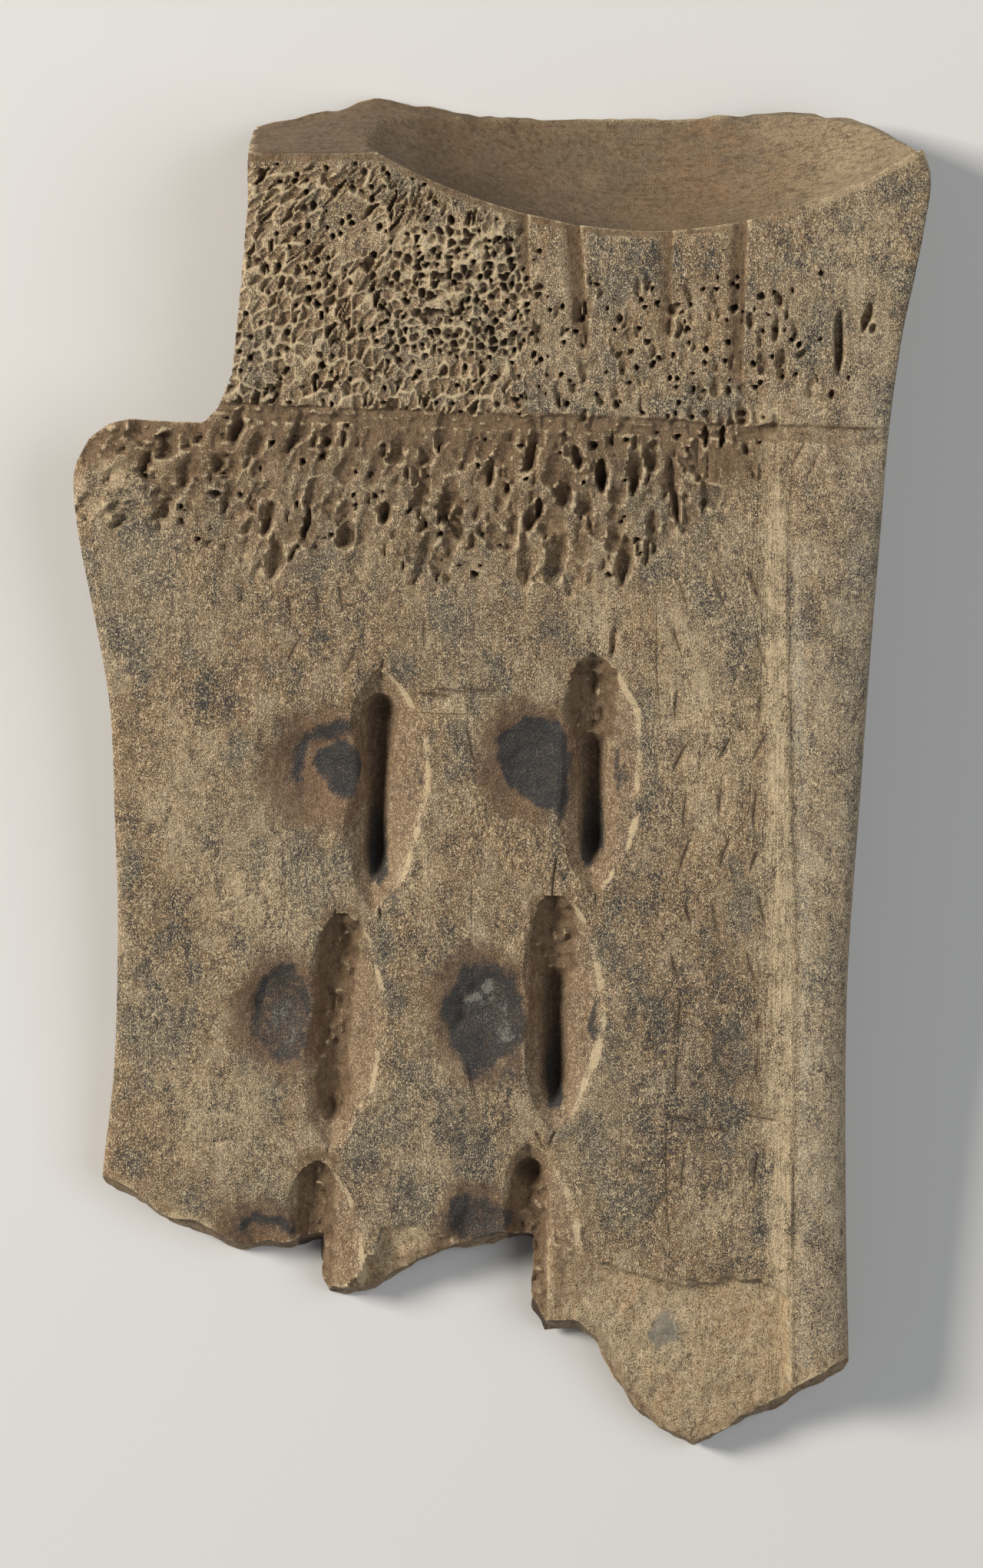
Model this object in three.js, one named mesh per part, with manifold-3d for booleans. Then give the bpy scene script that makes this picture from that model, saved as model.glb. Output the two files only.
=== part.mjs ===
// An oracle bone: the socket end of an ox shoulder blade, sawn flat on one face, with rows of chiselled
// and scorched hollows, its spine and one corner sawn away, and its far end broken off.
//
// Bone frame, in millimetres: u runs across the blade, v along it towards the socket, and w out of the
// worked face, which lies at w = 0. At the end the bone is laid on its back, on three worn spots.
import * as THREE from 'three';
import { LoftGeometry } from 'three/addons/geometries/LoftGeometry.js';
import { mergeVertices } from 'three/addons/utils/BufferGeometryUtils.js';
import Module from 'manifold-3d';

// ---------- driving dimensions ----------

// Natural borders of the blade, as [v, u] knots from the broken end to the socket.
const LEFT_BORDER = [[-92, -50], [-49, -47.3], [-35, -45.7], [-17, -45.0], [-5, -45.2], [9, -45.6],
  [19, -47.1], [29, -48.9], [36, -49.5], [46, -48.5], [90, -44]];
const RIGHT_BORDER = [[-92, 42.6], [-71, 42.0], [-55, 41.5], [-34, 41.2], [-22, 41.4], [-3, 42.5],
  [16, 43.6], [29, 44.5], [42, 45.4], [53, 46.8], [60, 48.2], [65, 49.1], [71, 49.8], [75, 48.6], [90, 46]];
const BLADE_ENDS = [-90, 88];    // the v at which the uncut bone starts and ends, beyond both cuts
const STATION_STEP = 5.5;        // spacing of the cross-sections along the bone
const SECTION_STEPS = { arc: 5, across: 12 };    // points of a cross-section on each rounded edge and between
const ROUGH_CROWN = 5;           // how high the bone stood over the worked face before it was cut

// Border between the flat worked face and the rounded right-hand ridge, as [v, u] knots.
const CREASE = [[-92, 35.0], [-70, 34.9], [-50, 34.5], [-22, 34.6], [8, 33.6], [30, 33.1], [90, 33]];
const RIDGE_HEIGHT = 1.3;
const RIDGE_SPAN = [30, 46];     // the ridge fades out between these two v
const RIDGE_ARCH = 0.9;          // share of half a sine wave that spans from the crease to the border

// Thickness behind the worked face.
const PLATE = 6.6;               // the thin blade
const BORDER_GAIN = 4.6;         // extra at the thick right border
const BORDER_AT = 39;
const BORDER_WIDTH = 7;
const HEAD = { middle: 13, depth: 25.2, leftFall: 0.0042 };   // it thins a little to the sawn left side
const HEAD_GROWTH = [[-92, 0], [-25, 0], [0, 0.07], [20, 0.2], [44, 0.44], [58, 0.72], [69, 0.99], [74, 1],
  [90, 0.94]];
const EDGE_DEPTH = { left: 2.4, right: 4.2 };    // where each border is widest, below the worked face
const EDGE_FLAT = 0.5;                           // half height of the flat strip there
const EDGE_ROUND = { left: 3.4, rightFront: 4.5, rightBack: 7.5, headBack: 13.5 };

// Socket: a dish that opens along +v, cut through by the worked face.
const SOCKET = { middle: 17.5, behind: 6, halfWidth: 32.9, halfBreadth: 19, depth: 10.8, level: 75 };
const TOP_FACET = { level: 74.1, rise: 0.1, to: 24, blend: [-18, 8] };  // the sawn flat beside the dish
const RIM = [                                     // swells and worn places on the rim, at full size at the back
  { at: -14, width: 6, height: 1.2 }, { at: -32, width: 9, height: -1.1 },
  { at: 34, width: 7, height: 0.8 }, { at: 50, width: 5, height: -2.2 },
];
const RIM_BACK = 16;                              // depth behind the face at which they reach full size

// Sawn-off corner: [u, v] of the cut on the worked face, from the left border round to the top. The saw
// leaned, so the cut drops CUT_LEAN mm along v for each mm behind the face.
const CUT_LEAN = 0.24;
const CORNER_CUT = [[-62, 35], [-49.7, 35.6], [-49.0, 38.4], [-47.4, 41.2], [-45.2, 42.9], [-42.8, 43.4],
  [-34.2, 42.9], [-32.6, 44.6], [-31.0, 48.6], [-29.9, 58], [-29.0, 68], [-28.4, 92], [-62, 92]];

// Saw kerf across the face, level with the sawn-off corner.
const KERF = { from: [-34, 44.4], to: [52, 40.9], width: 1.9, depth: 0.9 };

// Hollows: where each one's chiselled slot has its middle, its half length, and the scorched pit beside it.
const HOLLOWS = [
  { at: [-14.2, -0.3], half: 11.3, pit: [-6.1, 3.2] },
  { at: [11.1, 1.6], half: 12.0, pit: [-6.9, 1.0] },
  { at: [-19.2, -29.9], half: 11.6, pit: [-6.6, 1.9] },
  { at: [6.2, -27.8], half: 11.6, pit: [-7.7, 0.2] },
  { at: [-21.9, -60.1], half: 11.6, pit: [-6.4, 2.0] },
  { at: [4.1, -57.4], half: 12.0, pit: [-7.0, 2.0] },
];
const SLOT = { halfWidth: 1.75, depth: 4.9 };
const FLARE = { halfWidth: 5.0, depth: 1.9, beyond: 2.2, shift: 1.0 };
const PIT = { halfWidth: 4.7, halfLength: 6.2, depth: 2.1 };
const FACETS = { slot: [12, 10], flare: [16, 10], pit: [16, 8] };  // of each ellipsoid, around and down

// Broken end: [u, v] of the break at the back of the blade, from right to left, and how far it leans.
const BREAK = [[60, -66], [42.2, -73.2], [39.2, -75.4], [36.7, -76.4], [33.9, -78.3], [29.3, -80.6],
  [26.1, -82.2], [23.4, -84.0], [21.4, -82.9], [19.1, -81.8], [16.8, -79.5], [14.1, -75.2], [11.8, -70.6],
  [9.7, -68.9], [5.5, -69.1], [4.1, -66.4], [4.0, -57.8], [-0.3, -58.2], [-6.7, -59.3], [-10.1, -60.9],
  [-14.7, -64.0], [-18.4, -64.7], [-20.3, -64.3], [-21.0, -61.9], [-21.2, -57.7], [-24.8, -59.1],
  [-30.6, -59.0], [-38.9, -55.9], [-46.6, -51.3], [-62, -42]];
const BREAK_BACK = -7;           // the w at which those points hold
const BREAK_LEAN = 0.46;         // v gained per mm towards the worked face

// Spalls: places by the break where the face has flaked off, as [u, v] outlines, and their slope.
const SPALLS = [
  { outline: [[5.6, -56], [9.4, -57.2], [14, -59.5], [20.3, -61.2], [31, -60.8], [34.4, -63], [34.9, -92],
    [5.6, -92]], top: -58, depth: 1.5, slope: 0.1 },
  { outline: [[-4.6, -56], [-9.6, -54.3], [-13.4, -54.2], [-15.2, -57.6], [-17.4, -62], [-17.6, -92],
    [-4.6, -92]], top: -54, depth: 1.0, slope: 0.3 },
];

// How far the solids that are cut away reach past the bone: across, along, in front of it and behind it.
const CLEAR = { left: -60, foot: -95, head: 100, front: 20, back: -34 };

const FOOT_FLAT = 0.35;          // how deep the three resting spots are worn flat
const FEET = [[12, 70], [37.5, -69], [-42.5, -50]];  // [u, v] of those spots on the back

// ---------- shape functions ----------

// Smooth curve through [x, y] knots, with Catmull-Rom slopes.
function along(knots, x) {
  const last = knots.length - 2;
  let i = 0;
  while (i < last && x > knots[i + 1][0]) i++;
  const slope = (k) => {
    const [a, b] = [knots[Math.max(k - 1, 0)], knots[Math.min(k + 1, knots.length - 1)]];
    return (b[1] - a[1]) / (b[0] - a[0]);
  };
  const [[x0, y0], [x1, y1]] = [knots[i], knots[i + 1]];
  const span = x1 - x0;
  const s = THREE.MathUtils.clamp((x - x0) / span, 0, 1);
  const hermite = [2 * s ** 3 - 3 * s ** 2 + 1, s ** 3 - 2 * s ** 2 + s, 3 * s ** 2 - 2 * s ** 3, s ** 3 - s ** 2];
  return hermite[0] * y0 + hermite[1] * span * slope(i) + hermite[2] * y1 + hermite[3] * span * slope(i + 1);
}

// Quarter-circle rise from 0 at an edge to 1 at distance r from it.
const quarterRound = (x, r) => Math.sqrt(1 - (1 - Math.min(x / r, 1)) ** 2);

// A smooth hump of height 1 at x = 0.
const hump = (x, width) => Math.exp(-((x / width) ** 2));

// Thickness of the bone behind the worked face, before its borders are rounded.
function thickness(u, v) {
  const plate = PLATE + BORDER_GAIN * hump(u - BORDER_AT, BORDER_WIDTH);
  const head = HEAD.depth - HEAD.leftFall * Math.min(u - HEAD.middle, 0) ** 2;
  return THREE.MathUtils.lerp(plate, head, along(HEAD_GROWTH, v));
}

// Closed cross-section of the uncut bone at v: the front from left to right, then the back from right to left.
function section(v) {
  const [left, right] = [along(LEFT_BORDER, v), along(RIGHT_BORDER, v)];
  const growth = along(HEAD_GROWTH, v);
  const backRound = THREE.MathUtils.lerp(EDGE_ROUND.rightBack, EDGE_ROUND.headBack, growth ** 2);
  const { arc, across } = SECTION_STEPS;
  const stations = [];
  for (let i = 0; i < arc; i++)
    stations.push(left + EDGE_ROUND.left * (1 - Math.cos((i / arc) * Math.PI / 2)));
  const [from, to] = [left + EDGE_ROUND.left, right - backRound];
  for (let i = 0; i <= across; i++) stations.push(from + ((to - from) * i) / across);
  for (let i = arc - 1; i >= 0; i--)
    stations.push(right - backRound * (1 - Math.cos((i / arc) * Math.PI / 2)));

  const rim = (u) => {  // depth and rounding of the border that is nearer
    const nearLeft = u - left < right - u;
    return nearLeft
      ? { depth: EDGE_DEPTH.left, x: u - left, front: EDGE_ROUND.left, back: EDGE_ROUND.left }
      : { depth: EDGE_DEPTH.right, x: right - u, front: EDGE_ROUND.rightFront, back: backRound };
  };
  const front = stations.map((u) => {
    const r = rim(u);
    const edge = -r.depth + EDGE_FLAT;
    return new THREE.Vector3(u, v, edge + (ROUGH_CROWN - edge) * quarterRound(r.x, r.front));
  });
  const back = stations.map((u) => {
    const r = rim(u);
    const edge = -r.depth - EDGE_FLAT;
    return new THREE.Vector3(u, v, edge + (-thickness(u, v) - edge) * quarterRound(r.x, r.back));
  });
  return [...front, ...back.reverse()];
}

// Height of the worked face: flat, with the rounded ridge along the right border.
function workedFace(u, v) {
  const [crease, right] = [along(CREASE, v), along(RIGHT_BORDER, v)];
  const across = (u - crease) / (right - crease);
  const fade = 1 - THREE.MathUtils.smoothstep(v, ...RIDGE_SPAN);
  if (across <= 0) return 0;
  return fade * RIDGE_HEIGHT * Math.sin(Math.PI * Math.min(across * RIDGE_ARCH, 1));
}

// Level of the socket end at u, and at depth d behind the worked face: the dish, or the sawn flat beside it.
function socketEnd(u, d) {
  const x = (u - SOCKET.middle) / SOCKET.halfWidth;
  const y = (d - SOCKET.behind) / SOCKET.halfBreadth;
  const dish = SOCKET.depth * Math.max(1 - x * x - y * y, 0);
  const flat = TOP_FACET.level + TOP_FACET.rise * THREE.MathUtils.clamp(d, 0, TOP_FACET.to);
  const beside = THREE.MathUtils.smoothstep(u, ...TOP_FACET.blend);
  const back = THREE.MathUtils.smoothstep(d, 0, RIM_BACK);
  const swell = RIM.reduce((sum, { at, width, height }) => sum + height * hump(u - at, width), 0);
  return THREE.MathUtils.lerp(flat, SOCKET.level, beside) + back * swell - dish;
}

// ---------- solids ----------

const wasm = await Module();
wasm.setup();

// A closed three.js geometry as a solid that can be cut and joined.
function solid(geometry) {
  const bare = new THREE.BufferGeometry().setAttribute('position', geometry.getAttribute('position'));
  if (geometry.index) bare.setIndex(geometry.index);
  const merged = mergeVertices(bare, 1e-5);
  return new wasm.Manifold(new wasm.Mesh({
    numProp: 3,
    vertProperties: merged.getAttribute('position').array,
    triVerts: new Uint32Array(merged.index.array),
  }));
}

// A solid back as a three.js geometry with flat facets.
function geometryOf(made) {
  const mesh = made.getMesh();
  const geometry = new THREE.BufferGeometry();
  geometry.setAttribute('position', new THREE.BufferAttribute(mesh.vertProperties, 3));
  geometry.setIndex(new THREE.BufferAttribute(mesh.triVerts, 1));
  const faceted = geometry.toNonIndexed();
  faceted.computeVertexNormals();
  return faceted;
}

// A box whose vertices are carried to place(a, b, c), with a, b and c each running from 0 to 1.
function warpedBox(stepsA, stepsB, stepsC, place) {
  const box = new THREE.BoxGeometry(1, 1, 1, stepsA, stepsB, stepsC);
  const position = box.getAttribute('position');
  for (let i = 0; i < position.count; i++) {
    const p = [position.getX(i), position.getY(i), position.getZ(i)].map((x) => x + 0.5);
    position.setXYZ(i, ...place(...p));
  }
  return solid(box);
}

// An upright prism over a [u, v] outline, from w = low to w = high.
function prism(outline, low, high) {
  const shape = new THREE.Shape(outline.map(([u, v]) => new THREE.Vector2(u, v)));
  const block = new THREE.ExtrudeGeometry(shape, { depth: high - low, bevelEnabled: false });
  return block.translate(0, 0, low);
}

// An ellipsoid centred on the worked face.
function ellipsoid(u, v, halfU, halfV, halfW, around, down) {
  const ball = new THREE.SphereGeometry(1, around, down);
  ball.rotateX(Math.PI / 2);
  ball.scale(halfU, halfV, halfW);
  return solid(ball.translate(u, v, 0));
}

function uncutBone() {
  const [low, high] = BLADE_ENDS;
  const count = Math.round((high - low) / STATION_STEP);
  const sections = Array.from({ length: count + 1 }, (_, i) => section(low + ((high - low) * i) / count));
  return solid(new LoftGeometry(sections, { capStart: true, capEnd: true }));
}

// Everything in front of the worked face: columns across its flat part, then across the ridge as shares of
// the way from the crease to the border.
function faceWaste() {
  const columns = [CLEAR.left, -20, 10, 26];
  const ridgeColumns = [0, 0.12, 0.3, 0.5, 0.7, 0.9, 1.1, 1.6];
  const steps = columns.length + ridgeColumns.length - 1;
  const rows = 22;
  const column = (i, v) => {
    if (i < columns.length) return columns[i];
    const [crease, right] = [along(CREASE, v), along(RIGHT_BORDER, v)];
    return crease + (right - crease) * ridgeColumns[i - columns.length];
  };
  return warpedBox(steps, rows, 1, (a, b, c) => {
    const v = THREE.MathUtils.lerp(CLEAR.foot, -CLEAR.foot, b);
    const u = column(Math.round(a * steps), v);
    return [u, v, c > 0.5 ? CLEAR.front : workedFace(u, v)];
  });
}

// Everything beyond the socket end.
function socketWaste() {
  const [columns, rows] = [30, 12];
  return warpedBox(columns, 1, rows, (a, b, c) => {
    const u = THREE.MathUtils.lerp(-34, 56, a);
    const w = THREE.MathUtils.lerp(CLEAR.back, 4, c);
    return [u, b > 0.5 ? CLEAR.head : socketEnd(u, -w), w];
  });
}

// The same prism with v gained by lean for each mm of w above level.
function leaningPrism(outline, low, high, lean, level) {
  const block = prism(outline, low, high);
  const position = block.getAttribute('position');
  for (let i = 0; i < position.count; i++)
    position.setY(i, position.getY(i) + lean * (position.getZ(i) - level));
  return solid(block);
}

function kerfCut() {
  const [from, to] = [new THREE.Vector2(...KERF.from), new THREE.Vector2(...KERF.to)];
  const run = to.clone().sub(from);
  const box = new THREE.BoxGeometry(run.length(), KERF.width, 2 * KERF.depth);
  const middle = from.clone().lerp(to, 0.5);
  return solid(box.rotateZ(run.angle()).translate(middle.x, middle.y, 0));
}

// One hollow: a narrow chiselled slot in a flared almond, with a round pit on its left.
function hollowCut({ at: [u, v], half, pit }) {
  const slot = ellipsoid(u, v, SLOT.halfWidth, half, SLOT.depth, ...FACETS.slot);
  const flare = ellipsoid(u + FLARE.shift, v, FLARE.halfWidth, half + FLARE.beyond, FLARE.depth, ...FACETS.flare);
  const scorched = ellipsoid(u + pit[0], v + pit[1], PIT.halfWidth, PIT.halfLength, PIT.depth, ...FACETS.pit);
  return slot.add(flare).add(scorched);
}

// One spall: a wedge that deepens from its upper edge towards the break.
function spallCut({ outline, top, depth, slope }) {
  const block = prism(outline, 0, 1);
  const position = block.getAttribute('position');
  for (let i = 0; i < position.count; i++) {
    const floor = -depth - slope * Math.max(top - position.getY(i), 0);
    position.setZ(i, position.getZ(i) < 0.5 ? floor : 10);
  }
  return solid(block);
}

// ---------- the bone, laid on its back ----------

const feet = FEET.map(([u, v]) => new THREE.Vector3(u, v, -thickness(u, v)));
const upright = new THREE.Triangle(...feet).getNormal(new THREE.Vector3());
if (upright.z < 0) upright.negate();
const lie = new THREE.Quaternion().setFromUnitVectors(upright, new THREE.Vector3(0, 0, 1));
const floorLevel = feet[0].clone().applyQuaternion(lie).z + FOOT_FLAT;

// Everything below the floor that the bone lies on.
function floorWaste() {
  const block = new THREE.BoxGeometry(300, 300, 30).translate(0, 0, floorLevel - 15);
  return solid(block.applyQuaternion(lie.clone().invert()));
}

let bone = uncutBone();
const beyondBreak = [...BREAK, [-62, -110], [60, -110]];
const cuts = [faceWaste(), socketWaste(), leaningPrism(CORNER_CUT, CLEAR.back, CLEAR.front, CUT_LEAN, 0),
  leaningPrism(beyondBreak, CLEAR.back, CLEAR.front, BREAK_LEAN, BREAK_BACK), kerfCut(),
  ...HOLLOWS.map(hollowCut), ...SPALLS.map(spallCut), floorWaste()];
for (const cut of cuts) bone = bone.subtract(cut);

const boneSkin = new THREE.MeshStandardMaterial({ name: 'bone', color: 0x9c7f5c, roughness: 0.8, metalness: 0 });
const oracleBone = new THREE.Mesh(geometryOf(bone), boneSkin);
oracleBone.name = 'oracle_bone';
oracleBone.quaternion.copy(lie);
oracleBone.updateMatrixWorld();

// The origin is on the floor, under the middle of the bone's outline.
const box = new THREE.Box3().setFromObject(oracleBone, true);
const middle = box.getCenter(new THREE.Vector3());
oracleBone.position.set(-middle.x, -middle.y, -floorLevel);

const model = new THREE.Group();
model.add(oracleBone);
export default model;
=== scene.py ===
# An oracle bone: the socket end of an ox shoulder blade, with one face sawn flat, rows of chiselled and
# scorched hollows cut into it, and signs scratched beside them.
#
# The bone is worked out in its own frame, in millimetres: u runs across the blade, v along it towards the
# socket, and w out of the worked face, which lies at w = 0. It is laid on its back at the end.
import math

import bmesh
import bpy
import numpy as np
from mathutils import Matrix, Vector


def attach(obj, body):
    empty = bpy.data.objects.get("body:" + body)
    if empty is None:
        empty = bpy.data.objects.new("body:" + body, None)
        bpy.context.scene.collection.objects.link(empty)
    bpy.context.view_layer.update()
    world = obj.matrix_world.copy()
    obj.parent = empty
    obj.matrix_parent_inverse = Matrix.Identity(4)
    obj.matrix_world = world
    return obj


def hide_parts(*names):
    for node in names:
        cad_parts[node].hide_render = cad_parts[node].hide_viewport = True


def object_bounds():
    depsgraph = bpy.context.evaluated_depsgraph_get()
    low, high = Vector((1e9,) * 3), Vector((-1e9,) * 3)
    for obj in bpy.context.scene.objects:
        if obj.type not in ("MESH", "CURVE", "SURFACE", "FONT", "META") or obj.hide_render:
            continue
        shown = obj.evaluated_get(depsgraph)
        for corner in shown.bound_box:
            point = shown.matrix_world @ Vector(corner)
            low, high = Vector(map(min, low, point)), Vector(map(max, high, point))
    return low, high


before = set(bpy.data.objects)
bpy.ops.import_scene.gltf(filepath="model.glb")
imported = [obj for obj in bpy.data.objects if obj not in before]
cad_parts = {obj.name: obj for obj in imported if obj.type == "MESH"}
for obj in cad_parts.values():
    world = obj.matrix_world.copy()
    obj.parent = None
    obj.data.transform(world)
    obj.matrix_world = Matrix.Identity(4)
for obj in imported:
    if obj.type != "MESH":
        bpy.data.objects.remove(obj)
cad_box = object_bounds()

# ---------- The shoulder blade ----------
# The thin plate of an ox shoulder blade, with its thick right-hand border, swelling into the neck and head
# of the joint. Natural bone: its own smooth skin stays on the borders and the back. Here it is still whole
# and stands proud of the face that will be worked.

# The borders are given as (v, u), and how far the head has swollen, from 0 to 1, as (v, share).
LEFT_BORDER = [(-92, -50), (-49, -47.3), (-35, -45.7), (-17, -45), (-5, -45.2), (9, -45.6), (19, -47.1),
               (29, -48.9), (36, -49.5), (46, -48.5), (90, -44)]
RIGHT_BORDER = [(-92, 42.6), (-71, 42), (-55, 41.5), (-34, 41.2), (-22, 41.4), (-3, 42.5), (16, 43.6),
                (29, 44.5), (42, 45.4), (53, 46.8), (60, 48.2), (65, 49.1), (71, 49.8), (75, 48.6), (90, 46)]
HEAD_GROWTH = [(-92, 0), (-25, 0), (0, 0.07), (20, 0.2), (44, 0.44), (58, 0.72), (69, 0.99), (74, 1),
               (90, 0.94)]
BLADE_ENDS = (-90, 88)
PLATE = 6.6  # thickness of the plate
BORDER = {"gain": 4.6, "middle": 39, "width": 7}  # how much thicker the right border is, and where
HEAD = {"depth": 25.2, "middle": 13, "left_fall": 0.0042}
ROUGH_CROWN = 5  # what still stands in front of the face
EDGE_DEPTH = {"left": 2.4, "right": 4.2}  # of each border's outermost line, behind the face
EDGE_FLAT = 0.5
EDGE_ROUND = {"left": 3.4, "right_front": 4.5, "right_back": 7.5, "head_back": 13.5}
BLADE_STEPS = {"along": 120, "arc": 8, "across": 44}
SKIN = [(0.16, 7, 13, 3), (0.05, 2.2, 6, 4)]  # layers of unevenness: height, size across and along, seed
LATTICE = 128  # random heights each way before unevenness repeats


def smoothstep(x, low, high):
    """0 on the low side, 1 on the high side, and the cubic 3t^2 - 2t^3 between."""
    t = np.clip((x - low) / (high - low), 0, 1)
    return t * t * (3 - 2 * t)


def hump(x, width):
    """A smooth hump, 1 at x = 0: e to the power of minus (x / width) squared."""
    return np.exp(-(x / width) ** 2)


def quarter_round(x, radius):
    """Quarter circle that rises from 0 at an edge to 1 at the radius from it."""
    return np.sqrt(1 - (1 - np.clip(x / radius, 0, 1)) ** 2)


def along(knots, x):
    """Smooth curve through (x, y) knots: a cubic between each two, whose slope at a knot is that of the
    chord between the knots on either side."""
    at, value = np.array(knots, float).T
    after = np.minimum(np.arange(len(at)) + 1, len(at) - 1)
    before = np.maximum(np.arange(len(at)) - 1, 0)
    slope = (value[after] - value[before]) / (at[after] - at[before])
    i = np.clip(np.searchsorted(at, x) - 1, 0, len(at) - 2)
    span = at[i + 1] - at[i]
    s = np.clip((x - at[i]) / span, 0, 1)
    from_start = value[i] * (2 * s**3 - 3 * s**2 + 1) + span * slope[i] * (s**3 - 2 * s**2 + s)
    from_end = value[i + 1] * (3 * s**2 - 2 * s**3) + span * slope[i + 1] * (s**3 - s**2)
    return from_start + from_end


def unevenness(x, y, size_x, size_y, seed):
    """Soft random waves between -1 and 1: random heights on a lattice of size_x by size_y, joined by the
    cubic of smoothstep."""
    heights = np.random.default_rng(seed).uniform(-1, 1, (LATTICE, LATTICE))
    x, y = x / size_x, y / size_y
    i, j = np.floor(x).astype(int), np.floor(y).astype(int)
    s, t = smoothstep(x - i, 0, 1), smoothstep(y - j, 0, 1)
    left, right = i % LATTICE, (i + 1) % LATTICE
    low, high = (heights[left, row % LATTICE] * (1 - s) + heights[right, row % LATTICE] * s
                 for row in (j, j + 1))
    return low * (1 - t) + high * t


def layered(x, y, layers, base=0):
    """Unevenness in layers: base, plus the height of each layer times its own soft random waves."""
    return sum((height * unevenness(x, y, *wave) for height, *wave in layers), base)


def thickness(u, v):
    """Depth of the bone behind the worked face: the plate and its thick border, blended into the head, which
    thins with the square of the distance to the left of its middle."""
    plate = PLATE + BORDER["gain"] * hump(u - BORDER["middle"], BORDER["width"])
    head = HEAD["depth"] - HEAD["left_fall"] * np.minimum(u - HEAD["middle"], 0) ** 2
    return plate + (head - plate) * along(HEAD_GROWTH, v)


def blade_surface():
    """Rings of points round the blade, one for each v: the front from left to right, then the back from right
    to left, each falling to the border's depth by a quarter circle."""
    v = np.linspace(*BLADE_ENDS, BLADE_STEPS["along"])[:, None]
    left, right, growth = along(LEFT_BORDER, v), along(RIGHT_BORDER, v), along(HEAD_GROWTH, v)
    back_round = EDGE_ROUND["right_back"] + (EDGE_ROUND["head_back"] - EDGE_ROUND["right_back"]) * growth**2
    arc = 1 - np.cos(np.linspace(0, math.pi / 2, BLADE_STEPS["arc"])[:-1])
    across = np.linspace(0, 1, BLADE_STEPS["across"])
    flat_from, flat_to = left + EDGE_ROUND["left"], right - back_round
    u = np.concatenate([left + EDGE_ROUND["left"] * arc, flat_from + (flat_to - flat_from) * across,
                        right - back_round * arc[::-1]], axis=1)
    near_left = u - left < right - u
    inward = np.where(near_left, u - left, right - u)
    edge = -np.where(near_left, EDGE_DEPTH["left"], EDGE_DEPTH["right"])
    front_round = np.where(near_left, EDGE_ROUND["left"], EDGE_ROUND["right_front"])
    rear_round = np.where(near_left, EDGE_ROUND["left"], back_round)
    front = edge + EDGE_FLAT + (ROUGH_CROWN - edge - EDGE_FLAT) * quarter_round(inward, front_round)
    skin = layered(u, v, SKIN)
    rear = edge - EDGE_FLAT + (skin - thickness(u, v) - edge + EDGE_FLAT) * quarter_round(inward, rear_round)
    v = v + 0 * u
    return np.concatenate([np.stack([u, v, front], -1), np.stack([u, v, rear], -1)[:, ::-1]], axis=1)


def solid(name, points, faces):
    """A mesh object from an array of points and a list of faces."""
    mesh = bpy.data.meshes.new(name)
    mesh.from_pydata(points.reshape(-1, 3).tolist(), [], faces)
    made = bpy.data.objects.new(name, mesh)
    bpy.context.scene.collection.objects.link(made)
    return made


def tube_faces(rings, around, start=0):
    """Quads between neighbouring rings of points, and one flat face on each end."""
    index = start + np.arange(rings * around).reshape(rings, around)
    beside = np.roll(index, -1, axis=1)
    quads = np.stack([index[:-1], beside[:-1], beside[1:], index[1:]], -1).reshape(-1, 4)
    return quads.tolist() + [index[0, ::-1].tolist(), index[-1].tolist()]


blade = blade_surface()
bone = solid("oracle_bone_finished", blade, tube_faces(*blade.shape[:2]))

# ---------- The worked face ----------
# The spine and the crown of the blade were sawn and scraped away, which opened the spongy bone under the
# head. A rounded ridge was left along the right border behind a scraped crease, gouge flutes run down from
# the socket's rim, and a saw kerf crosses the face level with the sawn-off corner.

CREASE = [(-92, 35), (-70, 34.9), (-50, 34.5), (-22, 34.6), (8, 33.6), (30, 33.1), (90, 33)]  # (v, u)
RIDGE = {"height": 1.3, "arch": 0.95, "span": (46, 30)}  # span: the v between which it grows to full height
# The facet climbs to the crease over its width, tops out just short of it and drops just past it.
FACET = {"width": 4.6, "top": 0.2, "drop": (0.6, 0.1), "rise": 0.5, "lean": 0.03, "span": (46, 24)}
FLUTES = [  # where each starts at the rim and ends, as (u, v), then half width and depth
    ((2.3, 67), (2.6, 55), 1.0, 0.45),
    ((8.0, 66), (9.4, 50), 1.3, 0.75),
    ((18.9, 64.5), (18.7, 50), 1.1, 0.4),
    ((27.2, 65), (26.8, 45), 1.3, 0.65),
]
# A flute's floor and wall, in half widths, and its foot and rim, as shares of its length, fade between these.
FLUTE = {"floor": (-1, 0.7), "wall": (1.05, 0.85), "foot": (1.0, 0.7), "rim": (-0.3, 0)}
KERF_ENDS = ((-34, 44.4), (52, 40.9))  # (u, v)
KERF = {"half": 0.95, "depth": 0.9, "sides": (1.25, 0.6), "left": (-36, -30), "earthy": (34, 28)}
CORNER_CUT = [(-62, 35), (-49.7, 35.6), (-49.0, 38.4), (-47.4, 41.2), (-45.2, 42.9), (-42.8, 43.4),
              (-34.2, 42.9), (-32.6, 44.6), (-31.0, 48.6), (-29.9, 58), (-29.0, 68), (-28.4, 92), (-62, 92)]
SOCKET = {"middle": 17.5, "behind": 6, "half_width": 32.9, "half_breadth": 19, "depth": 10.8, "level": 75}
TOP_FACET = {"level": 74.1, "rise": 0.1, "to": 24, "blend": (-18, 8)}
RIM_SWELLS = [(-14, 6, 1.2), (-32, 9, -1.1), (34, 7, 0.8), (50, 5, -2.2)]  # at u, width, height
RIM_BACK = 16
EDGE_WEAR = {"border": (0.55, 1.4), "corner": (0.4, 1.1), "rim": (0.3, 1.0)}  # depth worn off, and width
WAVES = [(0.13, 9, 17, 11), (0.05, 3.1, 8, 12)]
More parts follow.
